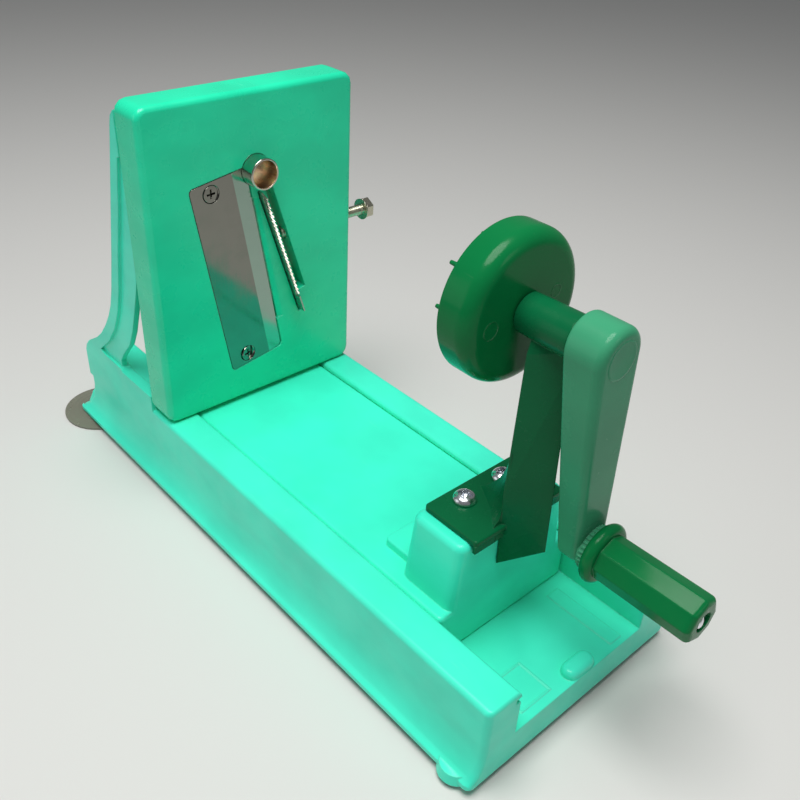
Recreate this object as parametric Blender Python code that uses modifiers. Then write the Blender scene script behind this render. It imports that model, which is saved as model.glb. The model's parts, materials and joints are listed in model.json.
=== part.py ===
# Crank-handled vegetable shredder: a sliding carriage pushes and turns the vegetable against an upright
# blade panel. Metres, +Z up. +X runs from the blade panel to the crank, and the table is at z = 0.
import math

import bmesh
import bpy
from mathutils import Vector

# Base frame
base_width = 0.116
base_front = 0.2236
base_rear = 0.093
rail_top = 0.045
channel_width = 0.081
floor_top = 0.0202
base_wall = 0.003
flange_reach = 0.0064
flange_rear_reach = 0.0085
flange_foot = 0.004
flange_lip = 0.0022
flange_top = 0.023
base_corner = 0.003
rail_round = 0.0024
bay_count = 6
rib_width = 0.002
groove_depth = 0.0025
groove_height = 0.0028
groove_drop = 0.0058
runner_setback = 0.010
stop_length = 0.017
stop_width = 0.0082
stop_height = 0.004
stop_setback = 0.0004
stop_offset = 0.0028
raised_height = 0.007
raised_overhang = 0.0025

# Buttresses, as shares of their reach behind the panel and their height over the rails
buttress_reach = 0.0752
buttress_height = 0.155
buttress_width = 0.006
buttress_recess = 0.0015
buttress_edge_shares = [(0, 1), (0.04, 0.981), (0.06, 0.954), (0.158, 0.77), (0.299, 0.51), (0.382, 0.37),
                        (0.428, 0.309), (0.489, 0.255), (0.568, 0.201), (0.663, 0.149), (0.753, 0.112),
                        (0.9, 0.066), (0.97, 0.035), (1, 0.006), (1, -0.1), (0, -0.1)]
buttress_recess_shares = [(-0.1, 0.868), (0.022, 0.865), (0.038, 0.832), (0.107, 0.688), (0.2, 0.529),
                          (0.268, 0.393), (0.333, 0.301), (0.426, 0.216), (0.557, 0.139), (0.721, 0.071),
                          (0.66, 0.06), (-0.1, 0.06)]
buttress_window_shares = [(-0.1, 0.575), (0.012, 0.56), (0.029, 0.465), (0.062, 0.414), (0.121, 0.337),
                          (0.192, 0.25), (0.261, 0.189), (0.387, 0.121), (0.436, 0.088), (0.438, 0.062),
                          (0.404, 0.05), (-0.1, 0.05)]
ear_thickness = 0.0035
ear_width = 0.011
ear_height = 0.012
ear_rises = (0.098, 0.134)
ear_hole = 0.0036
panel_screw_head = 0.0066
panel_screw_head_height = 0.0021
panel_screw_length = 0.012

# Blade panel
panel_side_inset = 0.0001
panel_height = 0.1594
panel_depth = 0.0186
panel_wall = 0.003
panel_corner = 0.0058
panel_front_round = 0.0028
panel_back_round = 0.0012
boss_wall = 0.0022
boss_radius = 0.0042
tongue_width = 0.008
tongue_length = 0.008
tongue_drop = 0.0024

# Blade plate, measured along its own tilted edges
blade_width = 0.0312
blade_length = 0.1027
blade_thickness = 0.0011
blade_corner = 0.002
blade_tilt = math.radians(9.4)
blade_across = -0.0122
blade_rise = 0.0719
blade_bevel = 0.0083
blade_edge = 0.0003
blade_screw_across = -0.0051
blade_screw_inset = 0.00575
blade_screw_head = 0.0083
blade_screw_head_depth = 0.0023
blade_screw_shank = 0.0032
blade_screw_length = 0.009
blade_hole = 0.0046
throat_width = 0.0085
throat_inset = 0.01635
throat_reveal = 0.0012
ramp_width = 0.0036
ramp_depth = 0.0016

# Centre tube
tube_rise = 0.1226
tube_outer = 0.0075
tube_wall = 0.0008
tube_proud = 0.0079
tube_behind = 0.0015

# Comb and its clamp
comb_tilt = math.radians(17.5)
comb_across = 0.0106
comb_rise = 0.0819
comb_toothed_length = 0.0625
comb_tab_length = 0.012
comb_thickness = 0.001
comb_proud = 0.0042
comb_depth = 0.013
comb_teeth = 19
tooth_depth = 0.0018
slot_width = 0.0078
holder_thickness = 0.0052
holder_setback = 0.0042
bolt_rise = 0.0848
bolt_setback = 0.0055
bolt_radius = 0.0028
bolt_reach = 0.0118
bolt_head = 0.010
bolt_head_height = 0.0046
bolt_tip_gap = 0.0005
nut_width = 0.008
nut_height = 0.005

# Feet
cup_radius = 0.0222
cup_height = 0.0065
cup_lip = 0.0012
cup_neck = 0.0055
cup_stud = 0.0035
cup_stud_length = 0.0045
cup_inset = 0.0042
cup_side_inset = 0.0058
cup_boss = 0.0075
cup_boss_top = 0.0048
cup_boss_height = 0.006
cup_room = 0.0108
cup_fall = 0.5
cup_hollow = 1.1
foot_boss = 0.008
foot_boss_height = 0.005
foot_boss_taper = 0.9
foot_setback = 0.0112
foot_side_reach = 0.0012
pad_radius = 0.0068
pad_stud = 0.003
pad_stud_length = 0.0042

# Carriage
carriage_front = 0.179
carriage_length = 0.239
carriage_top = 0.0434
carriage_wall = 0.003
carriage_round = 0.002
carriage_rib_count = 5
tongue_grip = 0.0019
pedestal_top = 0.0765
pedestal_length_top = 0.029
pedestal_length_foot = 0.0305
pedestal_half_top = 0.0318
pedestal_half_foot = 0.0345
pedestal_round = 0.003
pedestal_corner = 0.0045
pedestal_wall = 0.0045
plinth_reach = 0.048
plinth_half = 0.028
plinth_height = 0.004

# Crank bracket
plate_length = 0.0295
plate_half = 0.0263
plate_thickness = 0.0027
lip_overhang = 0.0023
lip_drop = 0.006
lip_gap_half = 0.015
bracket_screw_setback = 0.019
bracket_screw_spread = 0.023
bracket_screw_head = 0.0102
bracket_screw_head_height = 0.0034
bracket_screw_radius = 0.0024
bracket_screw_length = 0.014
axis_rise = 0.1220
column_foot_drop = 0.019
column_ridge_drop = 0.0069
column_waist_rise = 0.0152
column_neck_drop = 0.011
column_top_drop = 0.0045
column_half_foot = 0.0101
column_half_waist = 0.011
column_half_neck = 0.0078
column_half_top = 0.0058
column_side_foot = 0.0006
column_side_top = -0.0018
column_ridge_foot = 0.0166
column_ridge_top = 0.0126
column_wall = 0.0028
bearing_radius_rear = 0.0074
bearing_radius_front = 0.0081
bearing_rear = -0.0075
bearing_front = 0.0138

# Drive disc
disc_radius = 0.0302
disc_front = -0.0254
disc_thickness = 0.0152
disc_back_round = 0.0062
disc_front_round = 0.0008
hub_bore_gap = 0.0003
spike_count = 8
spike_circle = 0.0215
spike_radius = 0.0014
spike_length = 0.0098
spike_root = 0.0045
spike_turn = math.radians(7)
spike_tip = 0.0009

# Shaft, bushes, washers
shaft_radius = 0.0040
bush_radius = 0.0057
bush_length = 0.008
bush_flange_radius = 0.0072
bush_flange = 0.0006
thrust_thickness = 0.0005
washer_thickness = 0.0008
washer_radius = 0.0075
disc_screw_head = 0.0085
disc_screw_head_height = 0.0026
disc_screw_radius = 0.0017
disc_screw_length = 0.010

# Crank arm and grip
arm_length = 0.0902
arm_hub_radius = 0.0117
arm_tip_radius = 0.0096
arm_front = 0.0315
arm_rear = 0.0155
arm_tip_front = 0.030
arm_tip_rear = 0.020
arm_tip_flat = 0.8
arm_round = 0.0022
arm_swing = math.radians(6.4)
hub_recess_radius = 0.0072
hub_recess_depth = 0.0052
hub_nut_width = 0.009
hub_nut_height = 0.0036
hub_cap_thickness = 0.0011
grip_boss_radius = 0.0098
grip_boss_height = 0.0022
pin_radius = 0.003
pin_head_radius = 0.0048
pin_head_height = 0.0016
collar_radius = 0.0124
collar_round = 0.0028
grip_half_root = 0.0101
grip_half_end = 0.0089
grip_length = 0.0473
grip_end_round = 0.0016
grip_screw_head = 0.0080
grip_screw_head_height = 0.0024
grip_screw_radius = 0.0015
grip_screw_length = 0.008

# Shared fits and finish
seat_gap = 0.0003
slide_gap = 0.0005
round_steps = 24
small_steps = 16
screw_steps = 12
arc_steps = 3
corner_steps = 3
overrun = 0.003
drive_arm = 0.0009
drive_depth = 0.0012

# Places that follow from the sizes
base_half = base_width / 2
panel_width = base_width - panel_side_inset * 2
cup_spread = base_half - cup_side_inset
foot_spread = base_half + foot_side_reach
flange_half = base_half + flange_reach
channel_half = channel_width / 2
panel_foot = rail_top + seat_gap
panel_back = -panel_depth
buttress_front = panel_back - seat_gap
tube_height = rail_top + tube_rise
axis_height = rail_top + axis_rise
carriage_half = channel_half - slide_gap
carriage_foot = floor_top + slide_gap
groove_foot = rail_top - groove_drop
blade_screw_spread = blade_length - blade_screw_inset * 2
throat_length = blade_length - throat_inset * 2
cup_x = -base_rear - flange_rear_reach + cup_inset
grip_drop = arm_length * math.cos(arm_swing)
grip_across = arm_length * math.sin(arm_swing)
collar_rear = arm_tip_front + grip_boss_height + seat_gap
grip_end = collar_rear + grip_length
grip_seat = grip_end - washer_thickness - grip_screw_head_height - seat_gap * 2
washer_front = grip_seat + seat_gap + washer_thickness
pad_top = flange_foot - overrun / 2 - seat_gap
rear_reach = cup_radius - cup_x
front_reach = carriage_front + grip_end

for old in list(bpy.data.objects):
    bpy.data.objects.remove(old)
shredder = bpy.data.collections.new("vegetable_shredder")
cutters = bpy.data.collections.new("cutters")
bpy.context.scene.collection.children.link(shredder)
bpy.context.scene.collection.children.link(cutters)

upright = (math.radians(90), 0, math.radians(90))
sideways = (math.radians(90), 0, 0)
along_x = (0, math.radians(90), 0)
along_y = (math.radians(-90), 0, 0)
along_y_flat = (math.radians(-90), math.radians(30), 0)
flat = (0, 0, 0)


def material(name, colour, roughness, metallic=0.0):
    made = bpy.data.materials.new(name)
    made.use_nodes = True
    shader = made.node_tree.nodes["Principled BSDF"]
    shader.inputs["Base Color"].default_value = (*colour, 1)
    shader.inputs["Roughness"].default_value = roughness
    shader.inputs["Metallic"].default_value = metallic
    return made


mint = (0.055, 0.68, 0.45)
dark_green = (0.004, 0.075, 0.03)
leaf_green = (0.008, 0.12, 0.045)
sea_green = (0.11, 0.42, 0.25)
steel = (0.6, 0.6, 0.58)
rubber = (0.2, 0.2, 0.17)


def holder(name, place, parent=None, turn=0.0):
    # An empty that carries a group of pieces, turned about X
    made = bpy.data.objects.new(name, None)
    made.location = place
    made.rotation_euler = (turn, 0, 0)
    made.parent = parent
    shredder.objects.link(made)
    return made


def add(name, data, place, parent, turn=flat, tool=False):
    made = bpy.data.objects.new(name, data)
    made.location = place
    made.rotation_euler = turn
    made.parent = parent
    (cutters if tool else shredder).objects.link(made)
    if tool:
        made.hide_render = True
        made.display_type = "WIRE"
    return made


def mesh_from(name, shape):
    bmesh.ops.recalc_face_normals(shape, faces=shape.faces)
    data = bpy.data.meshes.new(name)
    shape.to_mesh(data)
    shape.free()
    return data


def box(name, low, high, parent, turn=flat, tool=True):
    # A box between two corners
    shape = bmesh.new()
    bmesh.ops.create_cube(shape, size=1)
    size = [b - a for a, b in zip(low, high)]
    bmesh.ops.scale(shape, vec=size, verts=shape.verts)
    middle = [(a + b) / 2 for a, b in zip(low, high)]
    return add(name, mesh_from(name, shape), middle, parent, turn, tool)


def rod(name, start, length, radius, parent, turn=along_x, end_radius=None, sides=small_steps, tool=True):
    # A cylinder, cone or prism that starts at a point and runs along the turned Z axis
    shape = bmesh.new()
    end = radius if end_radius is None else end_radius
    bmesh.ops.create_cone(shape, cap_ends=True, segments=sides, radius1=radius, radius2=end, depth=length)
    bmesh.ops.translate(shape, vec=(0, 0, length / 2), verts=shape.verts)
    return add(name, mesh_from(name, shape), start, parent, turn, tool)


def hexagon(name, start, length, across_flats, parent, turn, tool=False):
    return rod(name, start, length, across_flats / math.sqrt(3), parent, turn, sides=6, tool=tool)


def outline(name, points, low, high, parent, turn, place=(0, 0, 0), tool=True):
    # A flat outline as a filled 2D curve, thick from low to high along its own Z
    curve = bpy.data.curves.new(name, "CURVE")
    curve.dimensions = "2D"
    curve.fill_mode = "BOTH"
    curve.extrude = (high - low) / 2
    spline = curve.splines.new("POLY")
    spline.points.add(len(points) - 1)
    for point, (x, y) in zip(spline.points, points):
        point.co = (x, y, 0, 1)
    spline.use_cyclic_u = True
    flat_piece = bpy.data.objects.new(name, curve)
    bpy.context.scene.collection.objects.link(flat_piece)
    bpy.context.view_layer.update()
    seen = flat_piece.evaluated_get(bpy.context.evaluated_depsgraph_get())
    shape = bmesh.new()
    shape.from_mesh(bpy.data.meshes.new_from_object(seen))
    bpy.data.objects.remove(flat_piece)
    bmesh.ops.remove_doubles(shape, verts=shape.verts, dist=seat_gap / 100)
    bmesh.ops.translate(shape, vec=(0, 0, (low + high) / 2), verts=shape.verts)
    return add(name, mesh_from(name, shape), place, parent, turn, tool)


def turned(name, profile, start, parent, turn=along_x, steps=round_steps, closed=False, tool=False):
    # A profile of (radius, distance) spun about the turned Z axis, its outer side listed from the far end back
    data = bpy.data.meshes.new(name)
    points = [(radius, 0, distance) for radius, distance in profile]
    edges = [(i, i + 1) for i in range(len(points) - 1)]
    if closed:
        edges.append((len(points) - 1, 0))
    data.from_pydata(points, edges, [])
    made = add(name, data, start, parent, turn, tool)
    screw = made.modifiers.new("spin", "SCREW")
    screw.axis = "Z"
    screw.steps = steps
    screw.render_steps = steps
    screw.use_merge_vertices = True
    screw.merge_threshold = seat_gap / 100
    return made


def corners(x0, x1, y0, y1, radius):
    # A rectangle with rounded corners, anticlockwise
    points = []
    for x, y, start in ((x1 - radius, y1 - radius, 0), (x0 + radius, y1 - radius, 90),
                        (x0 + radius, y0 + radius, 180), (x1 - radius, y0 + radius, 270)):
        for step in range(corner_steps + 1):
            angle = math.radians(start + 90 * step / corner_steps)
            points.append((x + radius * math.cos(angle), y + radius * math.sin(angle)))
    return points


def round_over(radius):
    # Inset and rise along a quarter circle that turns a side into a top
    angles = [math.radians(90 * step / arc_steps) for step in range(arc_steps + 1)]
    return [(radius * (1 - math.cos(angle)), radius * math.sin(angle)) for angle in angles]


def loft(name, rings, parent, turn=flat, place=(0, 0, 0), tool=False):
    # A solid through a stack of closed rings, each (height, points), capped at both ends
    shape = bmesh.new()
    loops = [[shape.verts.new((x, y, height)) for x, y in points] for height, points in rings]
    for below, above in zip(loops, loops[1:]):
        for i in range(len(below)):
            j = (i + 1) % len(below)
            shape.faces.new((below[i], below[j], above[j], above[i]))
    shape.faces.new(list(reversed(loops[0])))
    shape.faces.new(loops[-1])
    return add(name, mesh_from(name, shape), place, parent, turn, tool)


def pillow(name, low, high, corner, top, bottom, parent, turn=flat, place=(0, 0, 0), tool=False):
    # A block with round upright edges and rounded top and bottom edges
    (x0, y0, z0), (x1, y1, z1) = low, high
    rings = []
    for inset, rise in reversed(round_over(bottom)):
        rings.append((z0 + bottom - rise,
                      corners(x0 + inset, x1 - inset, y0 + inset, y1 - inset, corner - inset)))
    for inset, rise in round_over(top):
        rings.append((z1 - top + rise, corners(x0 + inset, x1 - inset, y0 + inset, y1 - inset, corner - inset)))
    return loft(name, rings, parent, turn, place, tool)


def boolean(target, operation, tools):
    for tool in tools:
        step = target.modifiers.new(tool.name, "BOOLEAN")
        step.operation = operation
        step.solver = "EXACT"
        step.object = tool
        if tool.name in shredder.objects:
            shredder.objects.unlink(tool)
            cutters.objects.link(tool)
            tool.hide_render = True
            tool.display_type = "WIRE"


def join(target, *tools):
    boolean(target, "UNION", tools)


def cut(target, *tools):
    boolean(target, "DIFFERENCE", tools)


def settle(target):
    # Keeps the result of the modifiers, so that later pieces don't work them out again
    bpy.context.view_layer.update()
    seen = target.evaluated_get(bpy.context.evaluated_depsgraph_get())
    target.data = bpy.data.meshes.new_from_object(seen)
    target.modifiers.clear()


def dress(target, name, colour, roughness, metallic=0.0):
    target.name = name
    target.data.name = name
    target.data.materials.clear()
    target.data.materials.append(material(name, colour, roughness, metallic))
    target.data.shade_smooth()
    target.data.set_sharp_from_angle(angle=math.radians(35))


def screw_profile(head, head_height, shank, length, countersunk=False):
    # A screw from its far top down: the head, then the shank, with the head's seat at distance 0
    if countersunk:
        return [(0, 0), (head / 2, 0), (head / 2, -head_height / 4), (shank / 2, -head_height),
                (shank / 2, -length), (0, -length)]
    dome = [(head / 2 * math.sin(math.radians(a)), head_height * (1 + math.cos(math.radians(a))) / 2)
            for a in (0, 30, 60, 85)]
    return dome + [(head / 2, 0), (shank, 0), (shank, -length), (0, -length)]


def cross_drive(name, place, parent, turn):
    # Two crossed bars that cut the recess of a Phillips screw
    tools = []
    for part, (across, along) in enumerate(((2, 1), (1, 2))):
        shape = bmesh.new()
        bmesh.ops.create_cube(shape, size=1)
        size = (across * drive_arm * 1.5, along * drive_arm * 1.5, drive_depth * 2)
        bmesh.ops.scale(shape, vec=size, verts=shape.verts)
        tools.append(add(f"{name}_{part}", mesh_from(name, shape), place, parent, turn, tool=True))
    return tools


def screws(names, places, head, head_height, shank, length, parent, turn, countersunk=False):
    # Like screws, one node each, with a cross recess in the head
    top = 0 if countersunk else head_height
    for name, place in zip(names, places):
        profile = screw_profile(head, head_height, shank, length, countersunk)
        one = turned(name, profile, place, parent, turn, screw_steps)
        lift = one.rotation_euler.to_matrix() @ Vector((0, 0, top))
        cut(one, *cross_drive(f"{name}_drive", Vector(place) + lift, parent, turn))
        settle(one)
        dress(one, name, steel, 0.2, 1.0)


root = holder("frame_origin", ((rear_reach - front_reach) / 2, 0, 0))
blade_seat = holder("blade_seat", (0, blade_across, rail_top + blade_rise), root, blade_tilt)
comb_seat = holder("comb_seat", (0, comb_across, rail_top + comb_rise), root, comb_tilt)
clamp_axis = holder("clamp_axis", (-bolt_setback, 0, rail_top + bolt_rise), root)
carriage_origin = holder("carriage_origin", (carriage_front, 0, 0), root)
crank_axis = holder("crank_axis", (0, 0, axis_height), carriage_origin)
grip_axis = holder("grip_axis", (0, grip_across, -grip_drop), crank_axis)


def base_block():
    # Outer block of the base, flared into a flange along both sides and the rear
    foot = corners(-base_rear - flange_rear_reach, base_front, -flange_half, flange_half, base_corner)
    rings = [(flange_foot, foot), (flange_foot + flange_lip, foot)]
    rise = flange_top - flange_foot - flange_lip
    for step in range(1, corner_steps + 1):
        angle = math.radians(90 * step / corner_steps)
        share = 1 - math.sin(angle)
        height = flange_foot + flange_lip + rise * (1 - math.cos(angle))
        half = base_half + flange_reach * share
        rings.append((height, corners(-base_rear - flange_rear_reach * share, base_front, -half, half,
                                      base_corner)))
    for inset, lift in round_over(rail_round):
        rings.append((rail_top - rail_round + lift,
                      corners(-base_rear + inset, base_front - inset / 2, -base_half + inset,
                              base_half - inset,
                              base_corner - inset)))
    return loft("base_frame", rings, root)


def channel_profile():
    # Section of the channel, with the inner edges of the rails rounded
    side = [(channel_half, floor_top), (channel_half, rail_top - rail_round)]
    for inset, lift in round_over(rail_round)[1:]:
        side.append((channel_half + inset, rail_top - rail_round + lift))
    side.append((channel_half + rail_round, rail_top + overrun))
    return side + [(-x, z) for x, z in reversed(side)]


def hollow_profile():
    # Section of the open underside: a space under the floor, one in each rail and one in each flange
    inner = channel_half + groove_depth + base_wall
    side = [(inner, floor_top - base_wall), (inner, rail_top - base_wall),
            (base_half - base_wall, rail_top - base_wall),
            (base_half - base_wall, flange_top - base_wall),
            (flange_half - base_wall, flange_foot + flange_lip),
            (flange_half - base_wall, flange_foot - overrun)]
    return [(-x, z) for x, z in side] + list(reversed(side))


def buttress_points(shares):
    return [(buttress_front - across * buttress_reach, rail_top + up * buttress_height)
            for across, up in shares]


def make_base():
    base = base_block()
    long_low = -base_rear - flange_rear_reach - overrun
    cut(base, outline("channel", channel_profile(), long_low, base_front + overrun, root, upright))
    for side, name in ((-1, "left"), (1, "right")):
        inside = channel_half - raised_overhang
        low, high = sorted((side * inside, side * base_half))
        join(base, pillow(f"raised_{name}", (-base_rear, low, rail_top - rail_round / 2),
                          (buttress_front, high, rail_top + raised_height), base_corner, rail_round / 2,
                          rail_round / 4, root))
        # the outline's own Z runs towards -Y
        outer, inner = -side * base_half, -side * (base_half - buttress_width)
        thick = sorted((outer, inner))
        join(base, outline(f"buttress_{name}", buttress_points(buttress_edge_shares), *thick, root, sideways))
        for face, toward in ((base_half, 1), (base_half - buttress_width, -1)):
            edges = sorted((-side * (face + toward * overrun), -side * (face - toward * buttress_recess)))
            cut(base, outline(f"recess_{name}_{toward}", buttress_points(buttress_recess_shares), *edges, root,
                              sideways))
        gap = sorted((-side * (base_half + overrun), -side * (base_half - buttress_width - overrun)))
        cut(base, outline(f"window_{name}", buttress_points(buttress_window_shares), *gap, root, sideways))
        for rise in ear_rises:
            ear_low, ear_high = sorted((side * (base_half - buttress_width / 2),
                                        side * (base_half - buttress_width - ear_width)))
            height = rail_top + rise
            join(base, box(f"ear_{name}_{rise}", (buttress_front - ear_thickness, ear_low, height - ear_height / 2),
                           (buttress_front, ear_high, height + ear_height / 2), root))
        for rise in ear_rises:
            across = side * (base_half - buttress_width - ear_width / 2)
            cut(base, rod(f"ear_hole_{name}_{rise}", (buttress_front - ear_thickness - overrun, across, rail_top + rise),
                          ear_thickness + overrun * 2, ear_hole / 2, root))
    settle(base)
    first = -base_rear + base_wall
    last = base_front - base_wall
    bay = (last - first + rib_width) / bay_count
    for number in range(bay_count):
        start = first + number * bay
        cut(base, outline(f"bay_{number}", hollow_profile(), start, start + bay - rib_width, root, upright))
    settle(base)
    for side, name in ((-1, "left"), (1, "right")):
        wall = side * channel_half
        deep = side * (channel_half + groove_depth)
        low, high = sorted((wall - side * overrun, deep))
        cut(base, box(f"groove_{name}", (long_low, low, groove_foot),
                      (base_front + overrun, high, groove_foot + groove_height), root))
        join(base, rod(f"cup_boss_{name}", (cup_x, side * cup_spread, cup_height + seat_gap),
                       cup_boss_height, cup_boss, root, flat, end_radius=cup_boss_top, sides=round_steps))
        cut(base, rod(f"cup_room_{name}", (cup_x, side * cup_spread, -overrun),
                      cup_height + seat_gap + overrun, cup_room, root, flat, sides=round_steps))
        cut(base, rod(f"cup_hole_{name}", (cup_x, side * cup_spread, 0),
                      cup_height + cup_stud_length + seat_gap * 2, cup_stud + seat_gap, root, flat))
        foot_x = base_front - foot_setback
        join(base, rod(f"foot_boss_{name}", (foot_x, side * foot_spread, flange_foot - overrun / 2),
                       foot_boss_height, foot_boss, root, flat, end_radius=foot_boss * foot_boss_taper,
                       sides=round_steps))
        cut(base, rod(f"foot_hole_{name}", (foot_x, side * foot_spread, 0),
                      pad_top + pad_stud_length + seat_gap, pad_stud + seat_gap, root, flat))
        middle = side * (base_half + channel_half) / 2
        across = tongue_width / 2 + seat_gap
        cut(base, box(f"tongue_slot_{name}",
                      (panel_back / 2 - tongue_length / 2 - seat_gap, middle - across,
                       rail_top - base_wall - overrun),
                      (panel_back / 2 + tongue_length / 2 + seat_gap, middle + across, rail_top + overrun),
                      root))
    stop = pillow("slide_stop", (-stop_width / 2, -stop_length / 2, -base_wall / 2),
                  (stop_width / 2, stop_length / 2, stop_height), stop_width / 2 * 0.98, stop_height * 0.6,
                  base_wall / 8, root, place=(base_front - stop_setback - stop_width / 2, stop_offset, floor_top))
    join(base, stop)
    settle(base)
    dress(base, "base_frame", mint, 0.35)


def panel_slot(name, seat, low, high, front, back):
    # A through slot in the panel, measured in a tilted seat's own Y and Z
    return box(name, (back, low[0], low[1]), (front, high[0], high[1]), seat)


def make_panel():
    half = panel_width / 2
    top = panel_foot + panel_height
    panel = pillow("blade_panel", (-half, panel_foot, panel_back), (half, top, 0), panel_corner,
                   panel_front_round,
                   panel_back_round, root, upright)
    pocket = pillow("pocket", (-half + panel_wall, panel_foot + panel_wall, panel_back - overrun),
                    (half - panel_wall, top - panel_wall, -panel_wall), panel_corner - panel_wall / 2,
                    panel_back_round, panel_back_round, root, upright, tool=True)
    cut(panel, pocket)
    settle(panel)
    join(panel, rod("tube_boss", (panel_back, 0, tube_height), panel_depth - panel_wall / 2,
                    tube_outer + boss_wall + seat_gap, root, sides=round_steps))
    # housings of the comb and of the throat behind the cutting edge
    comb_low = (-comb_thickness / 2 - seat_gap, -comb_toothed_length / 2 - comb_tab_length - seat_gap)
    comb_high = (slot_width, comb_toothed_length / 2 + seat_gap)
    housing_low = [value - boss_wall for value in comb_low]
    housing_high = [value + boss_wall for value in comb_high]
    join(panel, panel_slot("comb_housing", comb_seat, housing_low, housing_high, -panel_wall / 2,
                            panel_back + seat_gap))
    cutting_edge = blade_width / 2
    throat_low = (cutting_edge - throat_width, -throat_length / 2)
    throat_high = (cutting_edge + throat_reveal, throat_length / 2)
    join(panel, panel_slot("throat_housing", blade_seat, [value - boss_wall for value in throat_low],
                           [value + boss_wall for value in throat_high], -panel_wall / 3,
                            panel_back + seat_gap * 2))
    bolt_y = comb_across + slot_width
    join(panel, rod("bolt_boss", (0, bolt_y, 0), half - bolt_y - panel_wall - nut_height - seat_gap * 2,
                    bolt_radius + boss_wall, clamp_axis, along_y))
    for side in (-1, 1):
        for rise in ear_rises:
            across = side * (base_half - buttress_width - ear_width / 2)
            join(panel, rod(f"screw_boss_{side}_{rise}", (panel_back, across, rail_top + rise),
                            panel_depth - panel_wall / 2, boss_radius, root))
        middle = side * (base_half + channel_half) / 2
        join(panel, box(f"tongue_{side}", (panel_back / 2 - tongue_length / 2, middle - tongue_width / 2,
                                           rail_top - tongue_drop),
                        (panel_back / 2 + tongue_length / 2, middle + tongue_width / 2,
                         panel_foot + panel_wall), root))
    for number in (-1, 1):
        screw_z = number * blade_screw_spread / 2
        join(panel, rod(f"blade_boss_{number}", (panel_back + panel_wall, blade_screw_across, screw_z),
                        panel_depth - panel_wall * 1.5, boss_radius, blade_seat))
    # cradle that keeps the clamp nut from turning
    nut_room = nut_width / 2 + seat_gap
    nut_corner = nut_width / math.sqrt(3) + seat_gap
    join(panel, box("nut_cradle", (-nut_room - boss_wall, half - panel_wall * 1.5 - nut_height, -nut_room * 1.6),
                    (bolt_setback - panel_wall / 2, half - panel_wall / 2, nut_room * 1.6), clamp_axis))
    settle(panel)
    cut(panel, rod("tube_bore", (panel_back - overrun, 0, tube_height), panel_depth + overrun * 2,
                   tube_outer + seat_gap, root, sides=round_steps))
    tab_high = (-comb_low[0], -comb_toothed_length / 2)
    toothed_low = (comb_low[0], -comb_toothed_length / 2 - seat_gap)
    cut(panel, panel_slot("comb_tab_slot", comb_seat, comb_low, tab_high, overrun, panel_back - overrun),
        panel_slot("comb_slot", comb_seat, toothed_low, comb_high, overrun, panel_back - overrun))
    cut(panel, panel_slot("throat", blade_seat, throat_low, throat_high, overrun, panel_back - overrun))
    clear = seat_gap
    cut(panel, outline("blade_recess",
                       corners(-blade_width / 2 - clear, blade_width / 2 + clear, -blade_length / 2 - clear,
                               blade_length / 2 + clear, blade_corner + clear),
                       -blade_thickness - clear, overrun, blade_seat, upright))
    kink = cutting_edge + throat_reveal - seat_gap
    ramp = [(cutting_edge - ramp_width / 8, -ramp_depth), (kink, -ramp_depth), (kink + ramp_width, 0),
            (kink + ramp_width + overrun * ramp_width / ramp_depth, overrun),
            (cutting_edge - ramp_width / 8, overrun)]
    ramp_end = throat_length / 2 - seat_gap
    ramp_cut = loft("ramp", [(height, [(x, y) for y, x in ramp]) for height in (-ramp_end, ramp_end)],
                    blade_seat,
                    tool=True)
    cut(panel, ramp_cut)
    for number in (-1, 1):
        wide = blade_screw_head / 2 + seat_gap
        narrow = blade_screw_shank / 2 + seat_gap
        profile = [(0, overrun), (wide, overrun), (wide, -blade_screw_head_depth / 4 - seat_gap),
                   (narrow, -blade_screw_head_depth - seat_gap),
                   (narrow, panel_back - overrun), (0, panel_back - overrun)]
        cut(panel, turned(f"blade_pilot_{number}", profile,
                          (0, blade_screw_across, number * blade_screw_spread / 2), blade_seat, tool=True))
    for side in (-1, 1):
        for rise in ear_rises:
            across = side * (base_half - buttress_width - ear_width / 2)
            cut(panel, rod(f"screw_pilot_{side}_{rise}", (panel_back - overrun, across, rail_top + rise),
                           panel_depth - panel_wall + overrun, ear_hole / 2, root))
    cut(panel, rod("bolt_hole", (0, comb_across, 0), half + overrun - comb_across, bolt_radius + seat_gap, clamp_axis,
                   along_y))
    nut_start = half - panel_wall - nut_height - seat_gap
    cut(panel, hexagon("nut_room", (0, nut_start, 0), nut_height + seat_gap * 1.5, nut_width + seat_gap * 2,
                       clamp_axis, along_y_flat, tool=True),
        box("nut_way", (-nut_room - boss_wall - overrun, nut_start, -nut_corner),
            (0, half - panel_wall, nut_corner), clamp_axis))
    settle(panel)
    dress(panel, "blade_panel", mint, 0.35)
    places = [(buttress_front - ear_thickness - seat_gap,
               side * (base_half - buttress_width - ear_width / 2),
               rail_top + rise) for side in (-1, 1) for rise in ear_rises]
    screws([f"panel_screw_{number + 1}" for number in range(len(places))], places, panel_screw_head,
           panel_screw_head_height, ear_hole / 2 - seat_gap, panel_screw_length, root,
           (0, math.radians(-90), 0))


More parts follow.
